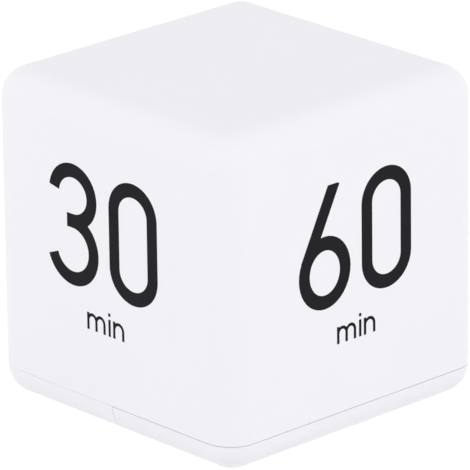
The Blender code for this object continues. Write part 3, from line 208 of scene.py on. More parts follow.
# %% [markdown]
# ## Running a node tree
#
# A Geometry Nodes tree is a recipe with named sizes. The recipe runs as a modifier, and its
# result is then stored as a plain mesh, because the exported model keeps meshes only. The sizes
# are set by the identifier of each input before the object is first evaluated.

# %% Build and run a tree
def new_tree(name, lengths=(), counts=(), **others):
    """A Geometry Nodes group that takes a geometry, the named sizes and a finish."""
    tree = bpy.data.node_groups.new(name, "GeometryNodeTree")
    sockets = {"Geometry": "Geometry", **dict.fromkeys(lengths, "Float"),
               **dict.fromkeys(counts, "Int"), **others, "Finish": "Material"}
    for label, kind in sockets.items():
        tree.interface.new_socket(label, in_out="INPUT", socket_type=f"NodeSocket{kind}")
    tree.interface.new_socket("Geometry", in_out="OUTPUT", socket_type="NodeSocketGeometry")
    inputs = tree.nodes.new("NodeGroupInput").outputs
    return tree, {label: Flow(inputs[label]) for label in sockets}


def close_tree(geometry, finish, smooth=True):
    """Ends a tree: instances become real, the shading is set, and the finish is assigned."""
    shaded = geometry.to("RealizeInstances").to("SetShadeSmooth", {"Shade Smooth": smooth})
    finished = shaded.to("SetMaterial", {"Material": finish})
    return add_node(geometry.tree, "NodeGroupOutput", {0: finished}).id_data


def new_object(name, data):
    obj = bpy.data.objects.new(name, data)
    bpy.context.scene.collection.objects.link(obj)
    return obj


def as_mesh(obj):
    """The object's evaluated shape as a plain mesh, with its modifiers gone."""
    graph = bpy.context.evaluated_depsgraph_get()
    mesh = bpy.data.meshes.new_from_object(obj.evaluated_get(graph), depsgraph=graph)
    name = obj.name
    bpy.data.objects.remove(obj)
    mesh.name = name
    return new_object(name, mesh)


def grow(name, tree, values, data=None):
    """Runs a tree on some data, or on nothing, and returns its result as a mesh object."""
    obj = new_object(name, data or bpy.data.meshes.new(name))
    modifier = obj.modifiers.new(tree.name, "NODES")
    modifier.node_group = tree
    identifiers = {item.name: item.identifier for item in tree.interface.items_tree}
    for label, value in values.items():
        modifier[identifiers[label]] = value
    return as_mesh(obj)


# %% [markdown]
# ## The top shell
#
# The visible cube is one moulding, open below, with every edge rounded to 5.8 mm. It could be
# a cube with a Bevel modifier, but then the wall inside would need a second one. The shape
# follows a rule: each point of the skin lies at one radius from a smaller, sharp cube. So a
# tree takes a grid cube, finds the point of the sharp cube that belongs to each grid point, and
# stands off from it by the radius. The same rule with a smaller radius gives the inner side.

# %% Rounded shell tree
def rounded_shell_tree():
    tree, size = new_tree("rounded shell", ("Side", "Edge radius", "Wall", "Foot height"),
                          ("Corner steps", "Flat steps"))
    flat, radius = size["Flat steps"], size["Edge radius"]
    steps = calc("MULTIPLY_ADD", size["Corner steps"], 2, flat)
    rows = steps + 1
    counts = {f"Vertices {axis}": rows for axis in "XYZ"}
    kept = shape(tree, "MeshCube", {"Size": (2, 2, 2), **counts})

    half = size["Side"] / 2
    share = flat / steps
    place = shape(tree, "InputPosition")
    side, away = calc("SIGN", place), calc("ABSOLUTE", place)
    centre = calc("MINIMUM", away, share) * side * ((half - radius) / share)
    over = calc("MAXIMUM", away - share, (0, 0, 0))
    turn = calc("TANGENT", over * (math.pi / 4 / (1 - share)))
    way = calc("NORMALIZE", turn * side)
    for label, value in (("arc centre", centre), ("arc way", way)):
        stored = {"Name": label, "Value": value}
        kept = kept.to("StoreNamedAttribute", stored, data_type="FLOAT_VECTOR")

    def skin(distance):
        """Where the stored point stands at a distance from its arc's centre."""
        way, centre = (
            shape(tree, "InputNamedAttribute", {"Name": label}, data_type="FLOAT_VECTOR")
            for label in ("arc way", "arc centre"))
        raised = way * distance + centre + vector(Z=half)
        return calc("MAXIMUM", raised, vector(X=-1, Y=-1, Z=size["Foot height"]))

    low = calc("LESS_THAN", parts_of(way)[2], -1e-4)
    open_below = kept.to("DeleteGeometry", {"Selection": low}, domain="POINT")
    outer = open_below.to("SetPosition", {"Position": skin(radius)})
    inputs = {"Mesh": outer, "Offset Scale": 0.0, "Individual": False}
    grown_in = add_node(tree, "GeometryNodeExtrudeMesh", inputs).outputs
    moved = {"Selection": Flow(grown_in["Top"]), "Position": skin(radius - size["Wall"])}
    inner = Flow(grown_in["Mesh"]).to("SetPosition", moved).to("FlipFaces")
    closed = shape(tree, "JoinGeometry", {0: [outer, inner]})
    closed = closed.to("MergeByDistance", {"Distance": MERGE})
    for label in ("arc centre", "arc way"):
        closed = closed.to("RemoveAttribute", {"Name": label})
    return close_tree(closed, size["Finish"])


shell_rule = rounded_shell_tree()
print("shell tree:", len(shell_rule.nodes), "nodes")

# %% Grow the top shell
EDGE_RADIUS = 5.8 * MM
WALL = 2.0 * MM
SEAM_HEIGHT = 5.8 * MM
SEAM_GAP = 0.05 * MM

shell = grow("cube_shell", shell_rule, {
    "Side": SIDE, "Edge radius": EDGE_RADIUS, "Wall": WALL,
    "Foot height": SEAM_HEIGHT + SEAM_GAP / 2, "Corner steps": 10, "Flat steps": 8,
    "Finish": white_plastic,
})
print(f"top shell: {len(shell.data.polygons)} faces")


# %% [markdown]
# ## Towers and catches inside the top shell
#
# The top shell isn't empty: two towers take the case screws, ribs tie them to the walls, and
# two wedges on the wall above the door snap over the hooks of the base. They are moulded in one
# with the shell, so they are united with it. They must be united before the rims are softened.

# %% Places and solid shapes
def middle_of(node):
    """The middle of a measured piece, as x, y and z."""
    low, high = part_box(node)
    return tuple((near + far) / 2 for near, far in zip(low, high))


def spot(x, y, z, turn=0):
    """A place, with a turn about X in degrees."""
    return Matrix.Translation((x, y, z)) @ Matrix.Rotation(math.radians(turn), 4, "X")


def drawn(name, mesh):
    """An object with the mesh that was drawn."""
    data = bpy.data.meshes.new(name)
    mesh.to_mesh(data)
    mesh.free()
    return new_object(name, data)


def solid_block(low, high):
    mesh = bmesh.new()
    bmesh.ops.create_cube(mesh, size=1)
    for vertex in mesh.verts:
        vertex.co = [start + (share + 0.5) * (end - start)
                     for start, end, share in zip(low, high, vertex.co)]
    return drawn("block", mesh)


def round_post(x, y, radius, low, high, steps=48):
    mesh = bmesh.new()
    bmesh.ops.create_cone(mesh, cap_ends=True, segments=steps, radius1=radius, radius2=radius,
                          depth=high - low, matrix=spot(x, y, (low + high) / 2))
    return drawn("post", mesh)


def wedge(y, width, outline):
    """A block along Y whose section is an outline of (x, z) pairs."""
    mesh = bmesh.new()
    near = [mesh.verts.new((x, y - width / 2, z)) for x, z in outline]
    far = [mesh.verts.new((x, y + width / 2, z)) for x, z in outline]
    mesh.faces.new(near)
    mesh.faces.new(reversed(far))
    for first, second, third, fourth in zip(near, near[1:] + near[:1], far[1:] + far[:1], far):
        mesh.faces.new((second, first, fourth, third))
    bmesh.ops.recalc_face_normals(mesh, faces=mesh.faces)
    return drawn("wedge", mesh)


def combine(obj, other, operation="UNION"):
    """Unites the object with another one, or cuts the other one out of it."""
    modifier = obj.modifiers.new(operation, "BOOLEAN")
    modifier.operation = operation
    modifier.solver = "EXACT"
    modifier.object = other
    result = as_mesh(obj)
    bpy.data.objects.remove(other)
    return result


# %% Build the inside of the top shell
TOWER_FOOT, TOWER_RADIUS = 9.3 * MM, 3 * MM
HOLE_RADIUS, HOLE_DEPTH = 1.3 * MM, 7.5 * MM
RIB_END, HALF_RIB = 1.8 * MM, 0.6 * MM
CATCH_FOOT, CATCH_LEDGE, CATCH_TOP = 11.1 * MM, 12.2 * MM, 12.8 * MM
CATCH_TIP, CATCH_WIDTH, CATCH_Y = 2.9 * MM, 8 * MM, 14 * MM


def fit_out(shell):
    """Adds towers, ribs and catches to the bare shell; ribs end inside the thickness of walls."""
    low, roof, wall = TOWER_FOOT, SIDE - RIB_END, HALF - RIB_END
    for node in ("case_screw_1", "case_screw_2"):
        x, y, _ = middle_of(node)
        start, end = sorted((y, math.copysign(wall, y)))
        shell = combine(shell, solid_block((-wall, y - HALF_RIB, low), (x, y + HALF_RIB, roof)))
        shell = combine(shell, solid_block((x - HALF_RIB, start, low), (x + HALF_RIB, end, roof)))
        shell = combine(shell, round_post(x, y, TOWER_RADIUS, low, roof))
        hole = round_post(x, y, HOLE_RADIUS, low - MM, low + HOLE_DEPTH, 32)
        shell = combine(shell, hole, "DIFFERENCE")
    wall, tip = HALF - WALL, HALF - CATCH_TIP
    outline = [(wall + MM, CATCH_FOOT), (wall + MM, CATCH_TOP), (tip, CATCH_TOP),
               (tip, CATCH_LEDGE), (wall, CATCH_FOOT)]
    for y in (-CATCH_Y, CATCH_Y):
        shell = combine(shell, wedge(y, CATCH_WIDTH, outline))
    return shell


shell = fit_out(shell)
print(f"top shell with its inside: {len(shell.data.polygons)} faces")


# %% [markdown]
# ## Soft rims and true shading
#
# No moulded rim is perfectly sharp. A Bevel modifier takes a few hundredths of a millimetre
# off, which is what catches the light along the seam. After that the shading is set: on the
# rounded skin each normal comes from the cube's own rule, so the flat faces stay flat to the
# eye, and all other faces are smooth or sharp by the angle between them.

# %% Rim and shading helpers
def soften(obj, width, angle=60):
    """Rounds the object's sharp edges with a Bevel modifier and makes it a mesh again."""
    bevel = obj.modifiers.new("soft rims", "BEVEL")
    bevel.width = width
    bevel.segments = 2
    bevel.limit_method = "ANGLE"
    bevel.angle_limit = math.radians(angle)
    bevel.use_clamp_overlap = True
    return as_mesh(obj)


def shade(piece, angle):
    """Smooth shading, but sharp where two faces meet at more than the angle, in degrees."""
    piece.data.shade_smooth()
    piece.data.set_sharp_from_angle(angle=math.radians(angle))


# %% Shading of the rounded skin
def skin_normals(points, radius):
    """The cube's own normal at each point, and whether the point lies on a skin."""
    local = points - np.array((0, 0, HALF))
    reach = HALF - EDGE_RADIUS
    away = local - np.clip(local, -reach, reach)
    length = np.linalg.norm(away, axis=1)
    on_skin = np.abs(length - radius) < 4e-6
    return away / np.maximum(length, 1e-9)[:, None], on_skin


def shade_as_moulded(piece):
    shade(piece, 35)
    mesh = piece.data
    points = np.array([vertex.co for vertex in mesh.vertices])
    corners = np.array([loop.vertex_index for loop in mesh.loops])
    normals = np.array([corner.vector for corner in mesh.corner_normals])
    faces = np.array([polygon.index for polygon in mesh.polygons for _ in polygon.loop_indices])
    flat = np.array([polygon.normal for polygon in mesh.polygons])[faces]
    for radius, sign in ((EDGE_RADIUS, 1), (EDGE_RADIUS - WALL, -1)):
        way, on_skin = skin_normals(points, radius)
        good = on_skin[corners] & (np.sum(flat * way[corners] * sign, axis=1) > 0.9)
        whole = np.ones(len(mesh.polygons), bool)
        np.logical_and.at(whole, faces, good)
        good = whole[faces]
        normals[good] = way[corners][good] * sign
    mesh.normals_split_custom_set([tuple(normal) for normal in normals])


# %% Hand over the top shell
def one_finish(piece):
    """Leaves the piece's finish as its only material, on every face."""
    finish = next(material for material in piece.data.materials if material)
    piece.data.materials.clear()
    piece.data.materials.append(finish)
    piece.data.polygons.foreach_set("material_index", [0] * len(piece.data.polygons))


def hand_over(piece, body, slot, *replaced, angle=35):
    """Gives the piece one finish, shades it unless its shading stays, hides the pieces it replaces,
    and hangs it on its body.
    """
    one_finish(piece)
    if angle is not None:
        shade(piece, angle)
    if replaced:
        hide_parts(*replaced)
    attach(piece, body)
    return piece


shell = soften(shell, 0.06 * MM)
shade_as_moulded(shell)
hand_over(shell, "case", "white_plastic", "top_shell", angle=None)
print(f"top shell with soft rims: {len(shell.data.polygons)} faces")

# %% [markdown]
# ## The base and the battery door
#
# The base closes the cube from below, and its half towards the 60 is a door that slides off.
# Their measured meshes already have the grooves, wells and rails, so each is copied, its loose
# triangles are merged, and its rims are moved until the seams are as tight as on a real cube.

# %% Copies with tight seams
def merged_copy(node, name, finish):
    """A copy with merged corners and whole flat areas, without the old corners' normals."""
    mesh = bmesh.new()
    mesh.from_mesh(nodes[node].data)
    bmesh.ops.remove_doubles(mesh, verts=mesh.verts, dist=MERGE)
    bmesh.ops.dissolve_limit(
        mesh, angle_limit=math.radians(0.2), verts=mesh.verts, edges=mesh.edges)
    piece = drawn(name, mesh)
    piece.data.attributes.remove(piece.data.attributes["custom_normal"])
    piece.data.materials.append(finish)
    return piece


def move_plane(obj, axis, old, new, reach=0):
    """Moves the corners that lie on one plane and further out in X or Y than the reach."""
    moved = 0
    for vertex in obj.data.vertices:
        far = max(abs(vertex.co.x), abs(vertex.co.y))
        if abs(vertex.co[axis] - old) < 2e-5 and far > reach:
            vertex.co[axis] = new
            moved += 1
    return moved


X, Z = 0, 2
BASE_SEAM_GAP, DOOR_SEAM_GAP = 0.02 * MM, 0.09 * MM
DOOR_EDGE, EDGE_PLAY = 0.5 * MM, 0.15 * MM
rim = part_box("battery_door")[1].z
seam, rim_reach = SEAM_HEIGHT + SEAM_GAP / 2, HALF - 1.5 * WALL
for name, node, body, drop, side in (
    ("cube_base", "base_shell", "case", BASE_SEAM_GAP, -1),
    ("sliding_door", "battery_door", "door", DOOR_SEAM_GAP, 1),
):
    piece = merged_copy(node, name, white_plastic)
    moved = (
        move_plane(piece, Z, rim, seam - drop, rim_reach),
        move_plane(piece, X, DOOR_EDGE + side * EDGE_PLAY, DOOR_EDGE + side * DOOR_SEAM_GAP / 2))
    shade_as_moulded(piece)
    hand_over(piece, body, "white_plastic", node, angle=None)
    print(f"{name}: {moved[0]} rim points and {moved[1]} edge points moved")

# %% [markdown]
# ## Printed numbers
#
# The numbers are printed on the flat faces in one dark ink. A font would give some other
# typeface, so each digit is drawn as the strokes that it is made of, in millimetres on the
# face, and a tree sweeps the flat section of the ink along them. The strokes of a digit are
# then united, so that no two surfaces lie on each other.

# %% Ink and the stroke tree
printing_ink = moulded_plastic(
    "printing ink", (0.005, 0.005, 0.007), 0.55, 0.15 * MM, 1e-6, 0.1, mirror=0.12)
INK_HEIGHT = 0.02


def stroke_tree():
    tree, size = new_tree("printed strokes", ("Stroke width", "Ink height"))
    sides = {"Width": size["Stroke width"], "Height": size["Ink height"]}
    section = shape(tree, "CurvePrimitiveQuadrilateral", sides)
    sweep = {"Profile Curve": section, "Fill Caps": True}
    inputs = {"Self Intersection": True, "Mesh 2": size["Geometry"].to("CurveToMesh", sweep)}
    united = shape(tree, "MeshBoolean", inputs, operation="UNION", solver="EXACT")
    return close_tree(united, size["Finish"], smooth=False)


strokes = stroke_tree()


def curve_of(name, lines):
    """A curve with one straight-pointed spline for each (points, closed) pair, in millimetres."""
    curve = bpy.data.curves.new(name, "CURVE")
    curve.dimensions = "3D"
    for points, closed in lines:
        spline = curve.splines.new("POLY")
        spline.points.add(len(points) - 1)
        for point, place in zip(spline.points, points):
            x, y, z = (*place, 0)[:3]
            point.co = (x * MM, y * MM, z * MM, 1)
        spline.use_cyclic_u = closed
    return curve


def inked(name, lines, width, height, finish):
    """Flat strokes along the lines, with their width and height in millimetres."""
    values = {"Stroke width": width * MM, "Ink height": height * MM, "Finish": finish}
    return grow(name, strokes, values, curve_of(name, lines))


print("printed in", printing_ink.name)

# %% [markdown]
# ## Drawing the digits
#
# Each stroke is a list of points along its middle, in millimetres on the face, from the middle
# of the digit and its foot. Round strokes are arcs of ellipses. The 3 is an upper arc and a bar
# that runs into the lower one; the 6 is a ring with a straight stroke that touches it; the 0
# has straight flanks.

# %% Stroke shapes
def bow(centre, radii, start, end, steps=40):
    """Points of an elliptic arc, with its angles in degrees from the right, counterclockwise."""
    turns = [math.radians(start + (end - start) * step / steps) for step in range(steps + 1)]
    return [(centre[0] + radii[0] * math.cos(t), centre[1] + radii[1] * math.sin(t)) for t in turns]


def stroke(*points):
    return (list(points), False)


def digit_0(middle, foot, reach=5.02):
    """The middle line of a 0; it closes on itself."""
    top = bow((middle, foot + 17.02), (reach, 4.75), 0, 180)
    low = bow((middle, foot + 6.08), (reach, 4.75), 180, 360)
    return [(top + low, True)]


def digit_3(middle, foot):
    bar = (middle - 1.7, foot + 12.32)
    upper = bow((middle, foot + 17.11), (5.0, 4.79), 172, -90)
    lower = bow((middle - 0.25, foot + 6.82), (5.52, 5.5), 90, -162)
    return [stroke(*upper, bar), stroke(bar, *lower)]


def digit_6(middle, foot):
    height, radii = foot + 6.9, (5.04, 5.55)
    ring = bow((middle, height), radii, 0, 360)[:-1]
    lean, rise = math.radians(26.8), 16.0
    reach = math.hypot(radii[0] * math.cos(lean), radii[1] * math.sin(lean)) + 0.05
    touch = (middle - reach * math.cos(lean), height + reach * math.sin(lean))
    top = (touch[0] + rise * math.sin(lean), touch[1] + rise * math.cos(lean))
    return [(ring, True), stroke(touch, top)]


print("a 0 has", len(digit_0(0, 0)[0][0]), "points")


# %% [markdown]
# ## Laying the digits on the faces
#
# Each upright face has a matrix that takes millimetres on the face, from its lower left corner,
# to the cube. A stroke that ends in a slope is drawn too long and cut level, as the top of the
# 6 is.

# %% Sweep the strokes and lay them on a face
FACES = {
    "front": Matrix(((1, 0, 0, -HALF), (0, 0, -1, -HALF), (0, 1, 0, 0), (0, 0, 0, 1))),
    "right": Matrix(((0, 0, 1, HALF), (1, 0, 0, -HALF), (0, 1, 0, 0), (0, 0, 0, 1))),
    "back": Matrix(((-1, 0, 0, HALF), (0, 0, 1, HALF), (0, 1, 0, 0), (0, 0, 0, 1))),
    "left": Matrix(((0, 0, -1, -HALF), (-1, 0, 0, HALF), (0, 1, 0, 0), (0, 0, 0, 1))),
}


def cut_level(piece, height):
    """Cuts off what stands above a height on the face, in millimetres, and closes the cut."""
    mesh = bmesh.new()
    mesh.from_mesh(piece.data)
    everything = mesh.verts[:] + mesh.edges[:] + mesh.faces[:]
    cut = bmesh.ops.bisect_plane(mesh, geom=everything, plane_co=(0, height * MM, 0),
                                 plane_no=(0, 1, 0), clear_outer=True)
    edges = [item for item in cut["geom_cut"] if isinstance(item, bmesh.types.BMEdge)]
    bmesh.ops.holes_fill(mesh, edges=edges)
    mesh.to_mesh(piece.data)
    mesh.free()


def settle(piece, place=None):
    """Merges doubled corners, turns the faces outward, and lays the piece in its place."""
    mesh = bmesh.new()
    mesh.from_mesh(piece.data)
    bmesh.ops.remove_doubles(mesh, verts=mesh.verts, dist=MERGE)
    bmesh.ops.recalc_face_normals(mesh, faces=mesh.faces)
    if mesh.calc_volume(signed=True) < 0:
        bmesh.ops.reverse_faces(mesh, faces=mesh.faces)
    if place is not None:
        mesh.transform(place)
    mesh.to_mesh(piece.data)
    mesh.free()
    return piece


DIGIT_STROKE = 2.65


def print_on(face, label, lines, width=DIGIT_STROKE, trim=None):
    """Sweeps the strokes, cuts them level at the trim height, and lays them on a face."""
    piece = inked(f"print_{label}", lines, width, INK_HEIGHT, printing_ink)
    if trim:
        cut_level(piece, trim)
    hand_over(settle(piece, FACES[face]), "case", "dark_plastic", angle=None)


print_on("front", "30_three", digit_3(22.56, 26.53))
print_on("front", "30_zero", digit_0(38.42, 26.77))
print_on("right", "60_six", digit_6(23.45, 26.45), trim=49.6)
print_on("right", "60_zero", digit_0(38.78, 26.6, reach=4.86))
print("printed: 30 and 60")


# %% [markdown]
# ## The word min
#
# Under each number stands min, six tenths of a millimetre in its strokes. It is built like the
# digits: a stem and one or two arches, and for the i a stem and a dot.

# %% Draw min
MIN_HEIGHT, MIN_STROKE = 3.25, 0.6


def word_min(u, base, stretch=1.0):
    """Strokes of the word, from its left side and its base line."""
    top = base + MIN_HEIGHT
    half = MIN_STROKE / 2
    arch_m, stem_i, stem_n, arch_n = (stretch * value for value in (2.18, 6.05, 7.3, 2.4))

    def stem(place):
        return stroke((place, base), (place, top))

    def arch(left, right):
        """A stroke that leaves its stem, goes round and comes down to the base line."""
        reach = (right - left) / 2
        shoulder = base + (MIN_HEIGHT - half) - reach * 1.05
        middle = ((left + right) / 2, shoulder)
        bend = bow(middle, (reach, reach * 1.05), 180, 0, 16)
        return stroke((left, shoulder - 0.2), *bend, (right, base))

    m, i, n = u + half, u + stem_i, u + stem_n
    return [stem(m), arch(m, m + arch_m), arch(m + arch_m, m + 2 * arch_m), stem(i),
            stroke((i, top - half + 0.9), (i, top - half + 1.5)), stem(n), arch(n, n + arch_n)]


for face, *place in (("front", 25.73, 19.15, 0.99), ("right", 26.34, 19.01, 0.955)):
    print_on(face, f"min_{face}", word_min(*place), MIN_STROKE)
print("strokes of min:", len(word_min(0, 0)))

# %% [markdown]
# ## The numbers on the other two faces
#
# A cube of this kind carries four times, one on each upright face, and the photograph shows two
# of them. The other two aren't known. A 5 and a 15 complete the usual set, so they are drawn in
# the same hand: the 5 is a bar, a stem and a bowl, the 1 is a stem with a short flag.

# %% Draw 5 and 15
FOOT, DIGIT_HEIGHT = 26.6, 23.1


def digit_5(middle):
    bar = stroke((middle + 5.2, FOOT + 21.77), (middle - 4.3, FOOT + 21.77))
    stem = stroke((middle - 3.1, FOOT + DIGIT_HEIGHT), (middle - 4.0, FOOT + 11.3))
    return [bar, stem, stroke(*bow((middle, FOOT + 6.93), (5.3, 5.6), 138, -156))]


def digit_1(middle):
    stem = stroke((middle, FOOT), (middle, FOOT + DIGIT_HEIGHT + 1))
    return [stem, stroke((middle - 3.8, FOOT + 19.0), (middle, FOOT + 22.3))]


print_on("back", "5_five", digit_5(HALF / MM))
print_on("left", "15_one", digit_1(25.0), trim=FOOT + DIGIT_HEIGHT)
print_on("left", "15_five", digit_5(35.9))
for face in ("back", "left"):
    print_on(face, f"min_{face}", word_min(26.5, 19.1), MIN_STROKE)
print("printed: 5 and 15")


# %% [markdown]
# ## Marks on the underside
#
# The switch on the underside has three places and the door has an arrow, because nobody could
# use them otherwise. The words are plain letters, made flat and then laid face down; the arrow
# is drawn with the same strokes as the digits.

# %% Letter the underside
UNDERSIDE = Matrix(((-1, 0, 0, 0), (0, 1, 0, 0), (0, 0, -1, 0), (0, 0, 0, 1)))
grey_ink = moulded_plastic("grey ink", (0.09, 0.09, 0.1), 0.55, 0.15 * MM, 1e-6, 0.1)
MARK_SIZE, MARK_AWAY, SWITCH_STEP = 1.7 * MM, 4.4 * MM, 2 * MM


def lettering(word, x, y):
    """One word under the base, readable from below, with its middle at x and y."""
    text = bpy.data.curves.new(word, "FONT")
    text.body = word
    text.size = MARK_SIZE
    text.extrude = INK_HEIGHT * MM / 2
    text.align_x = text.align_y = "CENTER"
    text.materials.append(grey_ink)
    piece = as_mesh(new_object(f"mark_{word.lower()}", text))
    settle(piece, spot(x, y, 0) @ UNDERSIDE)
    hand_over(piece, "case", "dark_plastic", angle=None)


knob_x, knob_y, _ = middle_of("switch_knob")
for step, word in enumerate(("OFF", "LO", "HI")):
    lettering(word, knob_x + MARK_AWAY, knob_y + step * SWITCH_STEP)

arrow = [stroke((-4, 0), (3.2, 0)), stroke((1.4, -2), (4, 0.25)), stroke((1.4, 2), (4, -0.25))]
mark = inked("mark_door_arrow", arrow, 0.6, INK_HEIGHT, grey_ink)
hand_over(settle(mark, spot(20 * MM, 0, 0, 180)), "door", "dark_plastic", angle=None)
print("marks beside the switch at", round(knob_x / MM, 1), round(knob_y / MM, 1))


# %% [markdown]
# ## Turned shapes
#
# Cells, cans, solder and screw heads are round, so one tree serves them all. A modeller would
# draw half of the outline and spin it. The tree does just that: it takes the outline as a curve
# of distances from the axis and heights, gives each point of a grid its row from the outline
# and its turn from the column, and merges the rows that end on the axis.

# %% Lathe tree
def unrolled(tree, columns, rows):
    """A sheet of points, with each point's share of a whole turn and its row."""
    counts = {"Size X": 1.0, "Size Y": 1.0, "Vertices X": columns, "Vertices Y": rows}
    across, along, _ = parts_of(shape(tree, "InputPosition"))
    return shape(tree, "MeshGrid", counts), across + 0.5, (along + 0.5) * (rows - 1)


def about_axis(out, turns, up):
    """The point at a distance from Z, after a number of turns, at a height."""
    turn = turns * math.tau
    return vector(X=out * calc("COSINE", turn), Y=out * calc("SINE", turn), Z=up)


def rolled(sheet, place):
    """The sheet with its points in place and its two sides closed."""
    return sheet.to("SetPosition", {"Position": place}).to("MergeByDistance", {"Distance": MERGE})


def lathe_tree():
    tree, size = new_tree("lathe", counts=["Steps round"])
    outline = size["Geometry"]
    rows = outline.to("AttributeDomainSize", out="Point Count", component="CURVE")
    sheet, turns, row = unrolled(tree, size["Steps round"] + 1, rows)
    inputs = {"Value": shape(tree, "InputPosition"), "Index": calc("ROUND", row)}
    sample = outline.to("SampleIndex", inputs, data_type="FLOAT_VECTOR", domain="POINT")
    out, up, _ = parts_of(sample)
    return close_tree(rolled(sheet, about_axis(out, turns, up)), size["Finish"])


lathe = lathe_tree()


def turned(name, points, finish, steps=48):
    """Spins an outline of (distance from the axis, height) pairs in millimetres about Z."""
    values = {"Steps round": steps, "Finish": finish}
    return grow(name, lathe, values, curve_of(name, [stroke(*points)]))


def rounded(corner_in, corner, corner_out, radius, steps=4):
    """Points of a small round that takes the place of one corner of an outline."""
    before, middle, after = (Vector(point) for point in (corner_in, corner, corner_out))
    start = middle + (before - middle).normalized() * radius
    end = middle + (after - middle).normalized() * radius
    shares = [step / steps for step in range(steps + 1)]
    return [tuple(start * (1 - t) ** 2 + middle * 2 * t * (1 - t) + end * t * t) for t in shares]


print("lathe tree:", len(lathe.nodes), "nodes")

# %% [markdown]
# ## Metals, rubber and board
#
# The works inside need their own surfaces. Nickel plating is bright but never even, so a slow
# noise moves its roughness. Rubber and epoxy are black and dull. The board is green lacquer
# over woven glass: two crossed waves give the weave, which is only just seen.

# %% Materials for the works
def plated_metal(name, colour, roughness, streak=0.4 * MM):
    material, tree, surface = new_material(name)
    dull = [channel * 0.86 for channel in colour]
    fill(surface, {
        "Metallic": 1.0,
        "Base Color": two_tones(spread(noise(tree, 4 * MM), 0, 1), dull, colour),
        "Roughness": spread(noise(tree, streak, 4.0), roughness * 0.7, roughness * 1.4),
    })
    return material


def lacquered_board(name, dark, light):
    material, tree, surface = new_material(name)
    place = shader(tree, "TexCoord", out="Object")
    inputs = {"Vector": place, "Scale": 1 / (3.5 * MM), "Distortion": 0.6}
    threads = calc("MULTIPLY", *(
        shader(tree, "TexWave", inputs, "Fac", bands_direction=way) for way in "XY"))
    fill(surface, {
        "Base Color": two_tones(threads, dark, light),
        "Roughness": spread(noise(tree, 3 * MM), 0.28, 0.4),
        "Normal": bump(threads, 4e-6),
    })
    return material


def see_through(name, tint, roughness, share):
    """Clear plastic or glass; share is how much of the light goes through."""
    material, tree, surface = new_material(name)
    paler = [min(channel * 1.02, 1) for channel in tint]
    fill(surface, {
        "Transmission Weight": share, "IOR": 1.49,
        "Base Color": two_tones(noise(tree, 9 * MM), tint, paler),
        "Roughness": spread(noise(tree, 2 * MM), roughness, roughness * 1.6),
    })
    return material


# %% Finishes of the works
plated_steel = plated_metal("nickel plated steel", (0.78, 0.77, 0.75), 0.24)
spring_steel = plated_metal("spring wire", (0.74, 0.73, 0.71), 0.3)
brass = plated_metal("brass", (0.80, 0.61, 0.29), 0.28)
solder = plated_metal("solder", (0.70, 0.70, 0.72), 0.34, 0.8 * MM)
board_green = lacquered_board("green board", (0.018, 0.105, 0.045), (0.03, 0.15, 0.065))
clear_window = see_through("clear window", (0.96, 0.98, 0.98), 0.03, 1.0)
display_glass = see_through("display cell", (0.50, 0.56, 0.47), 0.12, 0.25)
copper_trace = moulded_plastic("trace under lacquer", (0.07, 0.30, 0.12), 0.32, 0.3 * MM, 2e-6, 0.1)
black_rubber = moulded_plastic("connector rubber", (0.02, 0.02, 0.022), 0.75, 0.3 * MM, 6e-6, 0.2)
black_epoxy = moulded_plastic("potting epoxy", (0.012, 0.012, 0.014), 0.22, 1.2 * MM, 3e-5, 0.2)
black_sleeve = moulded_plastic("shrink sleeve", (0.02, 0.02, 0.026), 0.35, 0.6 * MM, 8e-6, 0.2)
red_sleeve = moulded_plastic("red insulation", (0.55, 0.025, 0.02), 0.38, 0.5 * MM, 4e-6, 0.08)
black_cable = moulded_plastic("black insulation", (0.015, 0.015, 0.017), 0.42, 0.5 * MM, 4e-6, 0.15)
black_chip = moulded_plastic("ceramic chip", (0.03, 0.028, 0.03), 0.55, 0.2 * MM, 5e-6, 0.2)
dark_moulding = moulded_plastic("black housing", (0.022, 0.022, 0.025), 0.45, 0.25 * MM, 6e-6, 0.12)
grey_moulding = moulded_plastic("grey moulding", (0.42, 0.43, 0.45), 0.48, 0.2 * MM, 5e-6, 0.03)
inner_white = moulded_plastic("inner white", (0.80, 0.80, 0.81), 0.5, 0.3 * MM, 5e-6, 0.015)
cell_jacket = moulded_plastic("cell wrap", (0.03, 0.032, 0.038), 0.3, 2 * MM, 2e-5, 0.15)
print("finishes:", len(bpy.data.materials))

# %% [markdown]
# ## Screws
#
# Two screws hold the case and four hold the board. Each has a pan head with a cross and a rolled
# thread. The thread could be modelled turn by turn, but it follows a rule: the surface stands
# out where height and turn together fill a whole pitch. So the tree takes a grid whose rows go
# from the head to the tip, and works out each point's distance from the axis from that rule.

# %% Screw tree
SCREW_SIZES = ("Head radius", "Head height", "Shaft radius", "Shaft length", "Pitch",
               "Thread depth", "Cross width")
CASE_SCREW = (2.0, 1.8, 1.0, 10.0, 0.9, 0.22, 0.5)
BOARD_SCREW = (1.6, 1.2, 0.7, 5.2, 0.6, 0.15, 0.4)


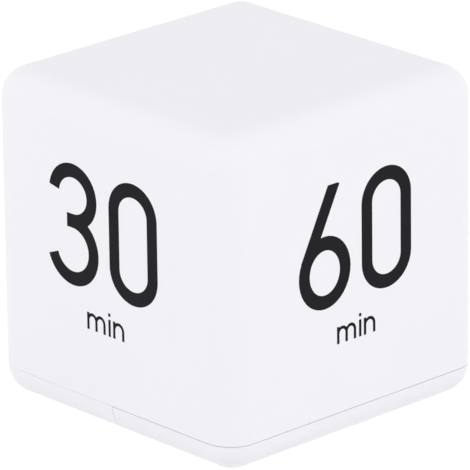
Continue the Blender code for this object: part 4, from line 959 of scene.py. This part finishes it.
def screw_tree():
    tree, size = new_tree("threaded screw", SCREW_SIZES)
    head_radius, head_height, shaft_radius, length, pitch, depth, cross = (
        size[label] for label in SCREW_SIZES)
    rows, head_rows = 121, 16
    sheet, turns, row = unrolled(tree, 33, rows)

    lean = calc("MINIMUM", row / (head_rows - 4), 1.0) * (math.pi / 2)
    head_out = calc("POWER", calc("SINE", lean), 0.75) * head_radius
    arch = calc("POWER", calc("MAXIMUM", calc("COSINE", lean), 0.0), 0.5)
    on_seat = calc("GREATER_THAN", row, head_rows - 3.5)
    head_up = calc("MULTIPLY_ADD", arch, 0.6, 0.4) * head_height * (1.0 - on_seat)

    along = (row - head_rows) / (rows - 1 - head_rows)
    down = calc("MINIMUM", calc("MAXIMUM", along, 0.0), 1.0) * length
    ramp = calc("FRACT", down / pitch + turns)
    ridge = calc("POWER", calc("ABSOLUTE", calc("MULTIPLY_ADD", ramp, 2.0, -1.0)), 2.0)
    near_head = calc("MINIMUM", down / pitch, 1.0)
    body = shaft_radius - (1.0 - ridge) * depth * near_head
    taper = calc("MINIMUM", (length - down) / shaft_radius, 1.0)
    is_last = calc("GREATER_THAN", row, rows - 1.5)
    body = body * calc("MULTIPLY_ADD", taper, 0.6, 0.4) * (1.0 - is_last)

    on_shaft = calc("GREATER_THAN", row, head_rows - 0.5)
    off_shaft = 1.0 - on_shaft
    out = on_shaft * body + off_shaft * head_out
    blank = rolled(sheet, about_axis(out, turns, off_shaft * head_up - down))

    arm = head_radius * 1.15
    bars = [
        shape(tree, "MeshCube", {"Size": vector(X=wide, Y=deep, Z=head_height)})
        .to("Transform", {"Translation": vector(Z=head_height)})
        for wide, deep in ((arm, cross), (cross, arm))]
    inputs = {"Mesh 1": blank, "Mesh 2": bars}
    cut = shape(tree, "MeshBoolean", inputs, operation="DIFFERENCE", solver="EXACT")
    return close_tree(cut, size["Finish"])


screw = screw_tree()
print("screw tree:", len(screw.nodes), "nodes")

# %% Thread the screws
for node in sorted(name for name in nodes if "_screw_" in name):
    on_case = node.startswith("case")
    sizes = CASE_SCREW if on_case else BOARD_SCREW
    values = {label: value * MM for label, value in zip(SCREW_SIZES, sizes)}
    piece = grow(f"{node}_threaded", screw, {**values, "Finish": plated_steel})
    (x, y, _), (low, high) = middle_of(node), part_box(node)
    height = values["Head height"]
    seat = spot(x, y, low.z + height, 180) if on_case else spot(x, y, high.z - height)
    hand_over(settle(piece, seat), "case", "plated_steel", node, angle=50)
print("screws have", len(piece.data.polygons), "faces each")


# %% [markdown]
# ## Springs of the battery bay
#
# Each cell is pushed by a conical spring of 0.6 mm wire. The wire's path is a rule of its own:
# one point after another turns, comes in and climbs, more slowly at both ends, where a real
# spring is closed. The tree makes that path from a line of points and sweeps the wire along it.

# %% Spring tree
def wire_along(path, radius, steps):
    """A round section swept along a path, with closed ends."""
    section = shape(path.tree, "CurvePrimitiveCircle", {"Resolution": steps, "Radius": radius})
    return path.to("CurveToMesh", {"Profile Curve": section, "Fill Caps": True})


def spring_tree():
    tree, size = new_tree(
        "conical spring", ("Turns", "Wide radius", "Narrow radius", "Length", "Wire"))
    count = 150
    share = shape(tree, "InputIndex") / (count - 1)
    wave = calc("SINE", share * math.tau) * 0.05
    change = size["Narrow radius"] - size["Wide radius"]
    radius = calc("MULTIPLY_ADD", share, change, size["Wide radius"])
    place = about_axis(radius, share * size["Turns"], (share - wave) * size["Length"])
    line = shape(tree, "MeshLine", {"Count": count}).to("SetPosition", {"Position": place})
    wire = wire_along(line.to("MeshToCurve"), size["Wire"] / 2, 12)
    return close_tree(wire, size["Finish"])


spring = spring_tree()
SPRING_WIRE = 0.6 * MM
for node, cell, side in (("contact_minus_spring", "battery_cell_1", -1),
                         ("contact_bridge_spring", "battery_cell_2", 1)):
    low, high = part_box(node)
    wide_end = low.y if side < 0 else high.y
    values = {"Turns": 3.5, "Wide radius": 3.6 * MM, "Narrow radius": 2.0 * MM,
              "Wire": SPRING_WIRE, "Length": high.y - low.y - SPRING_WIRE, "Finish": spring_steel}
    x, _, z = middle_of(cell)
    place = spot(x, wide_end - side * SPRING_WIRE / 2, z, 90 * side)
    piece = settle(grow(f"{node}_wound", spring, values), place)
    hand_over(piece, "case", "plated_steel", node, angle=60)
    depths = [vertex.co.y / MM for vertex in piece.data.vertices]
    print(f"{node} is wound from y {min(depths):.1f} to {max(depths):.1f} mm")


# %% [markdown]
# ## Battery cells
#
# Two round cells of the 44.5 mm size lie side by side, the other way round each. On a real cell
# a printed wrap is shrunk over the ends, a steel button stands on a cap, and the flat end is
# bare steel. The can, the wrap and its band are outlines for the lathe; the band at the plus
# end is plain copper colour, without words.

# %% Turn the cells
band_copper = plated_metal("copper coloured band", (0.78, 0.42, 0.2), 0.3, 1.5 * MM)
CELL_RADIUS, CELL_LENGTH, BAND_LENGTH = 5.15, 44.5, 11


def cell_outlines():
    """Outlines, from the base end up, of the steel can, the wrap and its band, in millimetres."""
    radius, top = CELL_RADIUS, CELL_LENGTH
    shoulder = top - 1.1
    button = rounded((1.9, shoulder), (1.9, top), (0, top), 0.3)
    can = [(0, 0.05), (3.2, 0.05), (3.35, 0.2), (4.6, 0.2), (4.75, 0.5), (4.75, shoulder - 0.4),
           (4.3, shoulder - 0.1), (2.6, shoulder - 0.1), (2.3, shoulder), *button, (0, top)]
    low = top - BAND_LENGTH
    wrap_end = rounded((4.2, 0), (radius, 0), (radius, low), 0.5)
    lower = [(4.2, 0.25), (4.2, 0), *wrap_end, (radius, low), (4.8, low), (4.8, 0.25)]
    wrap_top = rounded((radius, low), (radius, shoulder + 0.1), (3.9, shoulder + 0.1), 0.5)
    upper = [(4.8, low + 0.01), (radius, low + 0.01), *wrap_top, (3.9, shoulder + 0.1),
             (3.9, shoulder - 0.05), (4.8, shoulder - 0.05)]
    return can, lower + lower[:1], upper + upper[:1]


CELL_PARTS = (("can", plated_steel, "plated_steel"), ("wrap", cell_jacket, "cell_jacket"),
              ("band", band_copper, "brass"))
for number, plus_way in ((1, 1), (2, -1)):
    node = f"battery_cell_{number}"
    (low, high), (x, _, z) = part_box(node), middle_of(node)
    place = spot(x, low.y if plus_way > 0 else high.y, z, -90 * plus_way)
    for outline, (label, finish, slot) in zip(cell_outlines(), CELL_PARTS):
        piece = turned(f"cell_{number}_{label}", outline, finish, 64)
        hand_over(settle(piece, place), "case", slot, node)
print("cells lie at x", [round(middle_of(f"battery_cell_{n}")[0] / MM, 2) for n in (1, 2)])


# %% [markdown]
# ## Wires
#
# Two leads run from the contact tags over the roof of the bay and down to the board, and finer
# wires serve as legs. A wire is a round section that follows a path, so the tree turns a few
# corner points into one smooth line and sweeps the section along it. The bare ends come out of
# the insulation as thinner wires of their own.

# %% Wire tree
def wire_tree():
    _, size = new_tree("wire", ["Radius"], ["Points"])
    smooth = size["Geometry"].to("CurveSplineType", spline_type="CATMULL_ROM")
    path = smooth.to("ResampleCurve", {"Count": size["Points"]})
    return close_tree(wire_along(path, size["Radius"], 16), size["Finish"])


wire = wire_tree()


def pull_wire(name, route, radius, finish, slot, *replaced, points=70):
    """A wire through (x, y, z) corners; the route and the radius are in millimetres."""
    values = {"Radius": radius * MM, "Points": points, "Finish": finish}
    piece = settle(grow(name, wire, values, curve_of(name, [stroke(*route)])))
    hand_over(piece, "case", slot, *replaced, angle=60)


BOARD_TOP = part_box("main_board")[1].z / MM
ROOF, PAD_X = 15.7, 0.9
LEADS = {
    "battery_lead_red": (21.35, (12.3, -16.5), -9.5, red_sleeve, "red_sleeve"),
    "battery_lead_black": (10.25, (6.8, -18.5), -12.5, black_cable, "black_sleeve"),
}
for node, (tag_x, crossing, pad_y, finish, slot) in LEADS.items():
    sleeve = [(tag_x, -23.9, ROOF), (tag_x, -22.6, ROOF), (*crossing, ROOF),
              (3.3, (crossing[1] + pad_y) / 2, ROOF), (PAD_X, pad_y, ROOF - 1.6),
              (PAD_X, pad_y, 12.2), (PAD_X, pad_y, 11.3)]
    pull_wire(f"{node}_sleeve", sleeve, 0.6, finish, slot, node)
    foot = [(PAD_X, pad_y, height) for height in (11.6, 10.9, BOARD_TOP + 0.05)]
    end = [(tag_x, y, ROOF) for y in (-23.6, -24.2, -24.78)]
    for label, bare in (("foot", foot), ("end", end)):
        pull_wire(f"{node}_{label}", bare, 0.3, solder, "plated_steel", points=8)
print("leads pulled:", ", ".join(LEADS))


# %% [markdown]
# ## Copies of one piece on many places
#
# Pads, solder joints and chip resistors repeat. The tree puts a copy of one finished piece on
# each point of a list, so each kind is drawn once. Solder stands as a small hollow cone round
# its wire, which is how molten tin climbs a leg.

# %% Repeat tree
def repeat_tree():
    tree, size = new_tree("repeat on points", Piece="Object")
    model = shape(
        tree, "ObjectInfo", {"Object": size["Piece"], "As Instance": True}, "Geometry")
    placed = size["Geometry"].to("InstanceOnPoints", {"Instance": model})
    return close_tree(placed, size["Finish"])


repeat = repeat_tree()


def repeat_piece(name, model, places, slot, *replaced, angle=35):
    """Copies the model to (x, y, z) places in millimetres; the model itself goes."""
    points = bpy.data.meshes.new(name)
    points.from_pydata([[value * MM for value in place] for place in places], [], [])
    values = {"Piece": model, "Finish": model.data.materials[0]}
    piece = grow(name, repeat, values, points)
    bpy.data.objects.remove(model)
    hand_over(settle(piece), "case", slot, *replaced, angle=angle)


print("repeat tree:", len(repeat.nodes), "nodes")


# %% Solder on the board
def solder_on(name, outline, steps, places, sunk=0, angle=60):
    """Solder of one outline, turned in so many steps, on (x, y) places of the board."""
    model = turned("solder", outline, solder, steps)
    places = [(x, y, BOARD_TOP - sunk) for x, y in places]
    repeat_piece(name, model, places, "plated_steel", angle=angle)


CRYSTAL_LEGS = [(-15.95, -9.6), (-15.25, -9.6)]
sensor_x, sensor_y = (value / MM for value in middle_of("sensor_cage")[:2])
SENSOR_PINS = [(sensor_x + 7.2 * x, sensor_y + 7.2 * y)
               for x, y in ((1, 0), (-1, 0), (0, 1), (0, -1))]
LEAD_PADS = [(PAD_X, -9.5), (PAD_X, -12.5)]
VIAS = [(-2.2, -15.4), (-4.6, -16.6), (-12.4, -15.8), (-17.6, -12.4), (-18.0, 0.0), (-23.6, 2.0),
        (-24.9, -1.4), (-1.6, -3.0)]
joint = [(0, 0), (1.05, 0), (1.0, 0.08), (0.72, 0.22), (0.5, 0.5), (0.38, 0.9), (0, 0.98)]
pad = [(0, -0.01), (0.6, -0.01), (0.6, 0.03), (0.45, 0.16), (0.2, 0.3), (0, 0.33)]
via = [(0, -0.02), (0.42, -0.02), (0.42, 0.03), (0.2, 0.03), (0.2, 0.0), (0, 0.0)]
solder_on("solder_joints", joint, 32, LEAD_PADS, sunk=0.01)
solder_on("small_joints", pad, 24, CRYSTAL_LEGS + SENSOR_PINS)
solder_on("vias", via, 20, VIAS, angle=35)
tag_joint = [(0, 0), (0.95, 0), (0.8, 0.25), (0.5, 0.5), (0, 0.6)]
tags = settle(turned("tag joint", tag_joint, solder, 24), spot(0, 0, 0, -90))
places = [(tag_x, -24.82, ROOF) for tag_x, *_ in LEADS.values()]
repeat_piece("tag_joints", tags, places, "plated_steel", angle=60)
print("vias:", len(VIAS), "joints of the sensor:", len(SENSOR_PINS))


# %% [markdown]
# ## Traces of the board
#
# Copper runs under the green lacquer stand out by a hair. They join the joints, the black blob
# over the controller, and the parts, always in straight runs with 45 degree turns. They are
# strokes like the digits, only thinner and laid on the board.

# %% Lay the traces
TRACE_WIDTH, TRACE_HEIGHT = 0.32, 0.05
traces = [
    (LEAD_PADS[0], (-0.6, -9.5), (-2.6, -7.5), (-4.5, -7.5)),
    (LEAD_PADS[1], (-0.8, -12.5), (-4.2, -12.5), (-5.4, -11.3)),
    (CRYSTAL_LEGS[0], (-15.95, -10.6), (-14.9, -11.6), (-11.2, -11.6)),
    (CRYSTAL_LEGS[1], (-15.25, -10.3), (-14.7, -10.8), (-11.9, -10.8)),
    ((-20.2, -8.0), (-18.6, -8.0), (-17.6, -12.4)),
    ((-22.8, -8.0), (-24.9, -5.9), (-24.9, -1.4)),
    (VIAS[0], (-4.0, -13.6), (-5.6, -12.4)),
    (VIAS[1], (-6.6, -14.6), (-7.0, -13.2)),
    (VIAS[2], (-11.0, -14.4), (-9.8, -12.9)),
    (VIAS[7], (-3.6, -5.0), (-4.9, -5.0)),
    ((-7.2, -3.8), (-7.2, -2.4), (SENSOR_PINS[3][0] + 1.4, -1.5), SENSOR_PINS[3]),
    ((-9.0, -3.8), (-9.0, -3.2), (-13.6, -2.2), (-17.6, 1.8), (-17.6, 5.6), SENSOR_PINS[1]),
    ((-10.2, -4.2), (-14.6, -1.9), (-16.1, -1.9), VIAS[4]),
    ((-6.0, -4.2), (-3.2, -1.4), (-0.6, 1.2), (-0.6, 5.2), SENSOR_PINS[0]),
    ((-19.6, 1.5), (-18.6, 1.5), VIAS[4]),
    ((-19.6, 4.3), (-18.8, 5.1), (-18.8, 13.6), (-17.8, 14.6), (-10.4, 14.6), SENSOR_PINS[2]),
    ((-21.5, 1.5), VIAS[5]),
    ((-21.5, 4.3), (-23.2, 4.3), (-23.2, 7.1), (-21.5, 7.1)),
]
runs = [stroke(*corners) for corners in traces]
lines = inked("board_traces", runs, TRACE_WIDTH, TRACE_HEIGHT, copper_trace)
hand_over(settle(lines, spot(0, 0, BOARD_TOP * MM)), "case", "green_laminate", angle=None)
print("traces:", len(traces))


# %% [markdown]
# ## Parts on the board
#
# The controller sits under a blob of black epoxy. Beside it stand a crystal in a metal can, an
# electrolytic capacitor in a shrunk sleeve with its minus stripe, and three chip resistors with
# tinned ends. Round parts come from the lathe, and the chips are copies of one.

# %% Drop the epoxy
BLOB_X, BLOB_Y, BLOB_RADIUS, BLOB_STEPS = -8.0, -8.5, 5.0, 14
blob_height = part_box("controller_blob")[1].z / MM - BOARD_TOP
leans = [math.pi / 2 * step / BLOB_STEPS for step in range(BLOB_STEPS)]
dome = [(BLOB_RADIUS * math.cos(t), blob_height * math.sin(t) ** 0.8) for t in leans]
blob = turned("epoxy_blob", [(0, 0), *dome, (0, blob_height)], black_epoxy, 64)
phases = np.random.default_rng(4).uniform(0, math.tau, 3)
for vertex in blob.data.vertices:
    angle = math.atan2(vertex.co.y, vertex.co.x)
    swell = 1 - 0.035 * sum(math.sin(angle * k + phases[k - 2]) / k + 1 / k for k in (2, 3, 4))
    vertex.co.x *= swell
    vertex.co.y *= swell
settle(blob, spot(BLOB_X * MM, BLOB_Y * MM, BOARD_TOP * MM))
hand_over(blob, "case", "black_epoxy", "controller_blob", angle=80)
print(f"the blob is {blob_height:.2f} mm high")

# %% Crystal and capacitor
can = [(0, 0), (0.75, 0), *rounded((0.75, 0), (1.0, 0), (1.0, 6), 0.2),
       *rounded((1.0, 0), (1.0, 6), (0, 6), 0.25), (0, 6)]
end_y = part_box("timing_crystal")[0].y
x, _, z = middle_of("timing_crystal")
crystal = settle(turned("crystal_can", can, plated_steel, 32), spot(x, end_y, z, -90))
hand_over(crystal, "case", "plated_steel", "timing_crystal")
height = z / MM
for number, (x, y) in enumerate(CRYSTAL_LEGS, 1):
    route = [(x, end_y / MM + 0.1, height), (x, y + 0.25, height), (x, y, height - 0.3),
             (x, y, BOARD_TOP)]
    pull_wire(f"crystal_leg_{number}", route, 0.14, plated_steel, "plated_steel", points=20)

low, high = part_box("filter_capacitor")
tall = (high.z - low.z) / MM + 0.3
body = [(0, 0), (2.2, 0), *rounded((2.2, 0), (2.5, 0), (2.5, 1), 0.2), (2.5, 0.9), (2.3, 1.2),
        (2.3, 1.4), (2.5, 1.7), *rounded((2.5, 1.7), (2.5, tall), (0, tall), 0.35), (2.0, tall),
        (1.95, tall - 0.12), (0, tall - 0.12)]
lid = [(0, tall - 0.11), (1.9, tall - 0.11), (1.9, tall - 0.04), (0, tall - 0.04)]
stand = spot(-21.5 * MM, -8.0 * MM, BOARD_TOP * MM)
sleeve = turned("capacitor_sleeve", body, black_sleeve, 48)
hand_over(settle(sleeve, stand), "case", "black_sleeve", "filter_capacitor")
top = turned("capacitor_top", lid, plated_steel, 40)
hand_over(settle(top, stand), "case", "plated_steel")
stripe = inked("capacitor_stripe", [stroke((0, 1.9), (0, tall - 0.7))], 1.1, 0.16, grey_moulding)
flank = Matrix(((0, 0, 1, 2.43 * MM), (1, 0, 0, 0), (0, 1, 0, 0), (0, 0, 0, 1)))
hand_over(settle(stripe, stand @ flank), "case", "grey_plastic")
print(f"the capacitor is {tall:.1f} mm tall")


# %% Chip resistors
def chip(low_x, high_x, half_width, height, finish):
    """One block of a chip on its place, with sizes in millimetres."""
    low = (low_x * MM, -half_width * MM, 0)
    block = solid_block(low, (high_x * MM, half_width * MM, height * MM))
    block.data.materials.append(finish)
    return soften(block, 0.05 * MM)


chips = sorted(name for name in nodes if name.startswith("chip_resistor"))
places = [(*[value / MM for value in middle_of(name)[:2]], BOARD_TOP) for name in chips]
low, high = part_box(chips[0])
size_x, size_y = (high.x - low.x) / MM, (high.y - low.y) / MM
short, long = sorted((size_x / 2, size_y / 2))
body = chip(0.4 - long, long - 0.4, short - 0.02, 0.6, black_chip)
repeat_piece("chip_bodies", body, places, "ceramic", *chips)
for side, ends in (("left", (-long, 0.42 - long)), ("right", (long - 0.42, long))):
    repeat_piece(f"chip_ends_{side}", chip(*ends, short, 0.64, solder), places, "plated_steel")
print("chips", size_x, "by", size_y, "mm")


# %% [markdown]
# ## The display
#
# The display shows the time that is left, here 30:00. Each digit has seven bars, pointed at
# both ends so that they meet with thin gaps. The tree takes one point for each dark bar, with
# its turn in an attribute, and sets a six-sided bar on it.

# %% Segment tree
def segment_tree():
    tree, size = new_tree("display bars", ("Bar length", "Bar width", "Thickness"))
    prism = shape(tree, "MeshCylinder", {"Vertices": 6, "Radius": 1.0, "Depth": 1.0})
    x, y, z = parts_of(shape(tree, "InputPosition"))
    short = (1.0 - calc("ABSOLUTE", y)) * size["Bar width"]
    along = calc("SIGN", y) * (size["Bar length"] / 2 - short)
    across = x * (size["Bar width"] * (1 / math.sqrt(3)))
    place = vector(X=across, Y=along, Z=z * size["Thickness"])
    bar = prism.to("SetPosition", {"Position": place})
    turn = shape(tree, "InputNamedAttribute", {"Name": "turn"}, data_type="FLOAT")
    inputs = {"Instance": bar, "Rotation": vector(Z=turn)}
    placed = size["Geometry"].to("InstanceOnPoints", inputs)
    return close_tree(placed, size["Finish"], smooth=False)


bars = segment_tree()
print("segment tree:", len(bars.nodes), "nodes")

# %% Light the bars
liquid_crystal = moulded_plastic(
    "dark display bars", (0.012, 0.016, 0.014), 0.25, 0.3 * MM, 1e-6, 0.1)
BAR, BAR_WIDTH, BAR_HEIGHT = 3.0, 0.8, 0.03
LEVEL = math.pi / 2
BARS = {"top": (0, 2, LEVEL), "upper right": (1, 1, 0), "lower right": (1, -1, 0),
        "foot": (0, -2, LEVEL), "lower left": (-1, -1, 0), "upper left": (-1, 1, 0),
        "middle": (0, 0, LEVEL)}
LEFT_OUT = {"3": ("lower left", "upper left"), "0": ("middle",)}


def display_points(word, centres):
    """One point for each dark bar of each digit, with its turn in an attribute."""
    spots, turns = [], []
    for digit, centre in zip(word, centres):
        for label, (across, up, turn) in BARS.items():
            if label not in LEFT_OUT[digit]:
                spots.append(((centre + across * BAR / 2) * MM, up * BAR / 2 * MM, 0))
                turns.append(turn)
    points = bpy.data.meshes.new("points")
    points.from_pydata(spots, [], [])
    points.attributes.new("turn", "FLOAT", "POINT").data.foreach_set("value", turns)
    return points


x, _, _ = middle_of("display_glass")
glass_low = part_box("display_glass")[0].z
SCREEN = Matrix(((0, 1, 0, x), (1, 0, 0, 0), (0, 0, -1, glass_low), (0, 0, 0, 1)))
values = {"Bar length": BAR * MM * 0.97, "Bar width": BAR_WIDTH * MM,
          "Thickness": BAR_HEIGHT * MM, "Finish": liquid_crystal}
points = display_points("3000", (-8.4, -3.6, 3.6, 8.4))
digits = grow("display_digits", bars, values, points)
hand_over(settle(digits, SCREEN), "case", "dark_plastic")
colon = [stroke((0, up - 0.3), (0, up + 0.3)) for up in (-1.2, 1.2)]
dots = inked("display_colon", colon, 0.6, BAR_HEIGHT, liquid_crystal)
hand_over(settle(dots, SCREEN), "case", "dark_plastic")
print("dark bars:", len(digits.data.polygons) // 8)


# %% [markdown]
# ## Finishes of the measured pieces
#
# The other pieces keep their measured meshes and get the finish of the real thing. The window
# and the switch knob can be touched, and the sensor's lid and the buzzer show first when the
# case is open, so these four are copied with softened rims.

# %% Give each piece its finish
FINISHES = {
    display_glass: ("display_glass",),
    inner_white: ("display_frame",),
    black_rubber: ("display_connector",),
    board_green: ("main_board", "switch_base"),
    dark_moulding: ("sensor_cage",),
    grey_moulding: ("switch_slider",),
    plated_steel: ("switch_frame", "contact_plus_plate", "contact_minus_plate",
                   "contact_bridge_plate", "sensor_ball"),
    brass: ("sensor_common_plate", "sensor_contact_1", "sensor_contact_2", "sensor_contact_3",
            "sensor_contact_4", "buzzer_disc"),
}
SOFT = {
    "display_window": (clear_window, "clear_plastic", "case", 0.12 * MM),
    "switch_knob": (grey_moulding, "grey_plastic", "switch", 0.05 * MM),
    "sensor_lid": (dark_moulding, "dark_plastic", "case", 0.15 * MM),
    "buzzer_case": (dark_moulding, "dark_plastic", "case", 0.1 * MM),
}
finish_of = {name: finish for finish, names in FINISHES.items() for name in names}
finish_of.update((name, look[0]) for name, look in SOFT.items())
for name, finish in finish_of.items():
    for material_slot in nodes[name].material_slots:
        material_slot.material = finish


def soft_copy(node, finish, width):
    """A measured piece with softened rims and a new finish, its flat faces shaded flat."""
    piece = soften(merged_copy(node, f"{node}_soft", finish), width, angle=40)
    shade(piece, 50)
    piece.modifiers.new("flat areas", "WEIGHTED_NORMAL").keep_sharp = True
    return as_mesh(piece)


for node, (finish, slot, body, width) in SOFT.items():
    hand_over(soft_copy(node, finish, width), body, slot, node, angle=None)
print("finished", len(finish_of), "measured pieces")


# %% [markdown]
# ## Floor, light and camera
#
# The photograph shows the cube on pure white, lit from all sides as in a light tent. The floor
# is a white plane that shines a little for the camera, so that it renders white but still takes
# the contact shadow. Lamps stay at a plain level, at which a white of 0.9 renders as 0.9.

# %% Floor
def seen_directly(tree):
    """1 for rays that come from the camera, a mirror or a glass, else 0."""
    camera, glossy, through = (
        shader(tree, "LightPath", out=f"Is {kind} Ray")
        for kind in ("Camera", "Glossy", "Transmission"))
    return calc("MAXIMUM", calc("MAXIMUM", camera, glossy), through)


def paper(tree, grey, strength):
    """A matt surface that also shines."""
    matt = shader(tree, "BsdfDiffuse", {"Color": (grey, grey, grey, 1)})
    return shader(tree, "AddShader", {0: matt, 1: shader(tree, "Emission", {"Strength": strength})})


def white_floor():
    material = bpy.data.materials.new("white floor")
    material.use_nodes = True
    tree = material.node_tree
    tree.nodes.clear()
    bounce, shown = paper(tree, 0.6, 0.17), paper(tree, 0.12, 0.94)
    lit = shader(tree, "MixShader", {0: seen_directly(tree), 1: bounce, 2: shown})
    behind = shader(tree, "NewGeometry", out="Backfacing")
    clear = calc("MAXIMUM", behind, shader(tree, "LightPath", out="Is Shadow Ray"))
    inputs = {0: clear, 1: lit, 2: shader(tree, "BsdfTransparent")}
    add_node(tree, "ShaderNodeOutputMaterial", {"Surface": shader(tree, "MixShader", inputs)})
    return material


FLOOR_REACH, FLOOR_DROP = 1.5, 0.0001
plane = bmesh.new()
bmesh.ops.create_grid(
    plane, x_segments=1, y_segments=1, size=FLOOR_REACH, matrix=spot(0, 0, -FLOOR_DROP))
floor = drawn("floor", plane)
floor.data.materials.append(white_floor())
print(f"floor: {2 * FLOOR_REACH:.0f} m wide")

# %% World and lamps
world = bpy.data.worlds.new("light tent")
bpy.context.scene.world = world
world.use_nodes = True
sky = world.node_tree
height = parts_of(shader(sky, "TexCoord", out="Generated"))[2]
tent = shader(sky, "MapRange", {"Value": height, "To Min": 1.13, "To Max": 0.76})
level = shader(sky, "MapRange", {"Value": seen_directly(sky), "To Min": tent, "To Max": 1.0})
fill(sky.nodes["Background"], {"Color": (1, 1, 1, 1), "Strength": level})

MIDDLE = Vector((0, 0, HALF))
LAMPS = {
    "lamp right": ((1.13, 0.3, 0.45), 1.0, 1.95),
    "lamp left": ((-0.3, -1.13, 0.45), 1.0, 1.7),
    "lamp behind": ((0.25, 1.15, 0.15), 0.7, 0.35),
    "lamp far left": ((-1.15, -0.25, 0.15), 0.7, 0.35),
    "lamp below": ((0, 0, -0.7), 0.8, 2.6),
}
for name, (place, size, power) in LAMPS.items():
    data = bpy.data.lights.new(name, "AREA")
    data.size = size
    data.energy = power
    lamp = new_object(name, data)
    lamp.location = place
    lamp.rotation_euler = (MIDDLE - Vector(place)).to_track_quat("-Z", "Y").to_euler()
print("lamps:", len(LAMPS))

# %% Camera
AZIMUTH, ELEVATION, ROLL = (math.radians(angle) for angle in (47.084, 20.047, -0.762))
FOCAL_PIXELS = 5965.0
PICTURE_PIXELS = 470
DISTANCE = 1084.0 * MM
AIM_RIGHT, AIM_UP = -0.251 * MM, -1.08 * MM


def place_camera():
    cos, sin = math.cos, math.sin
    back = Vector((sin(AZIMUTH) * cos(ELEVATION), -cos(AZIMUTH) * cos(ELEVATION), sin(ELEVATION)))
    right = Vector((cos(AZIMUTH), sin(AZIMUTH), 0))
    up = back.cross(right)
    turned_right = cos(ROLL) * right + sin(ROLL) * up
    turned_up = cos(ROLL) * up - sin(ROLL) * right
    target = MIDDLE + AIM_RIGHT * turned_right + AIM_UP * turned_up
    data = bpy.data.cameras.new("camera")
    data.sensor_width = 36
    data.lens = FOCAL_PIXELS / PICTURE_PIXELS * data.sensor_width
    data.clip_start = 0.05
    camera = new_object("camera", data)
    axes = Matrix((turned_right, turned_up, back)).transposed()
    camera.matrix_world = Matrix.Translation(target + back * DISTANCE) @ axes.to_4x4()
    return camera


camera = place_camera()
bpy.context.scene.camera = camera
bpy.context.scene.view_settings.view_transform = "Standard"
print(f"lens {camera.data.lens:.1f} mm at {DISTANCE:.3f} m")

# %% Update the view layer
bpy.context.view_layer.update()
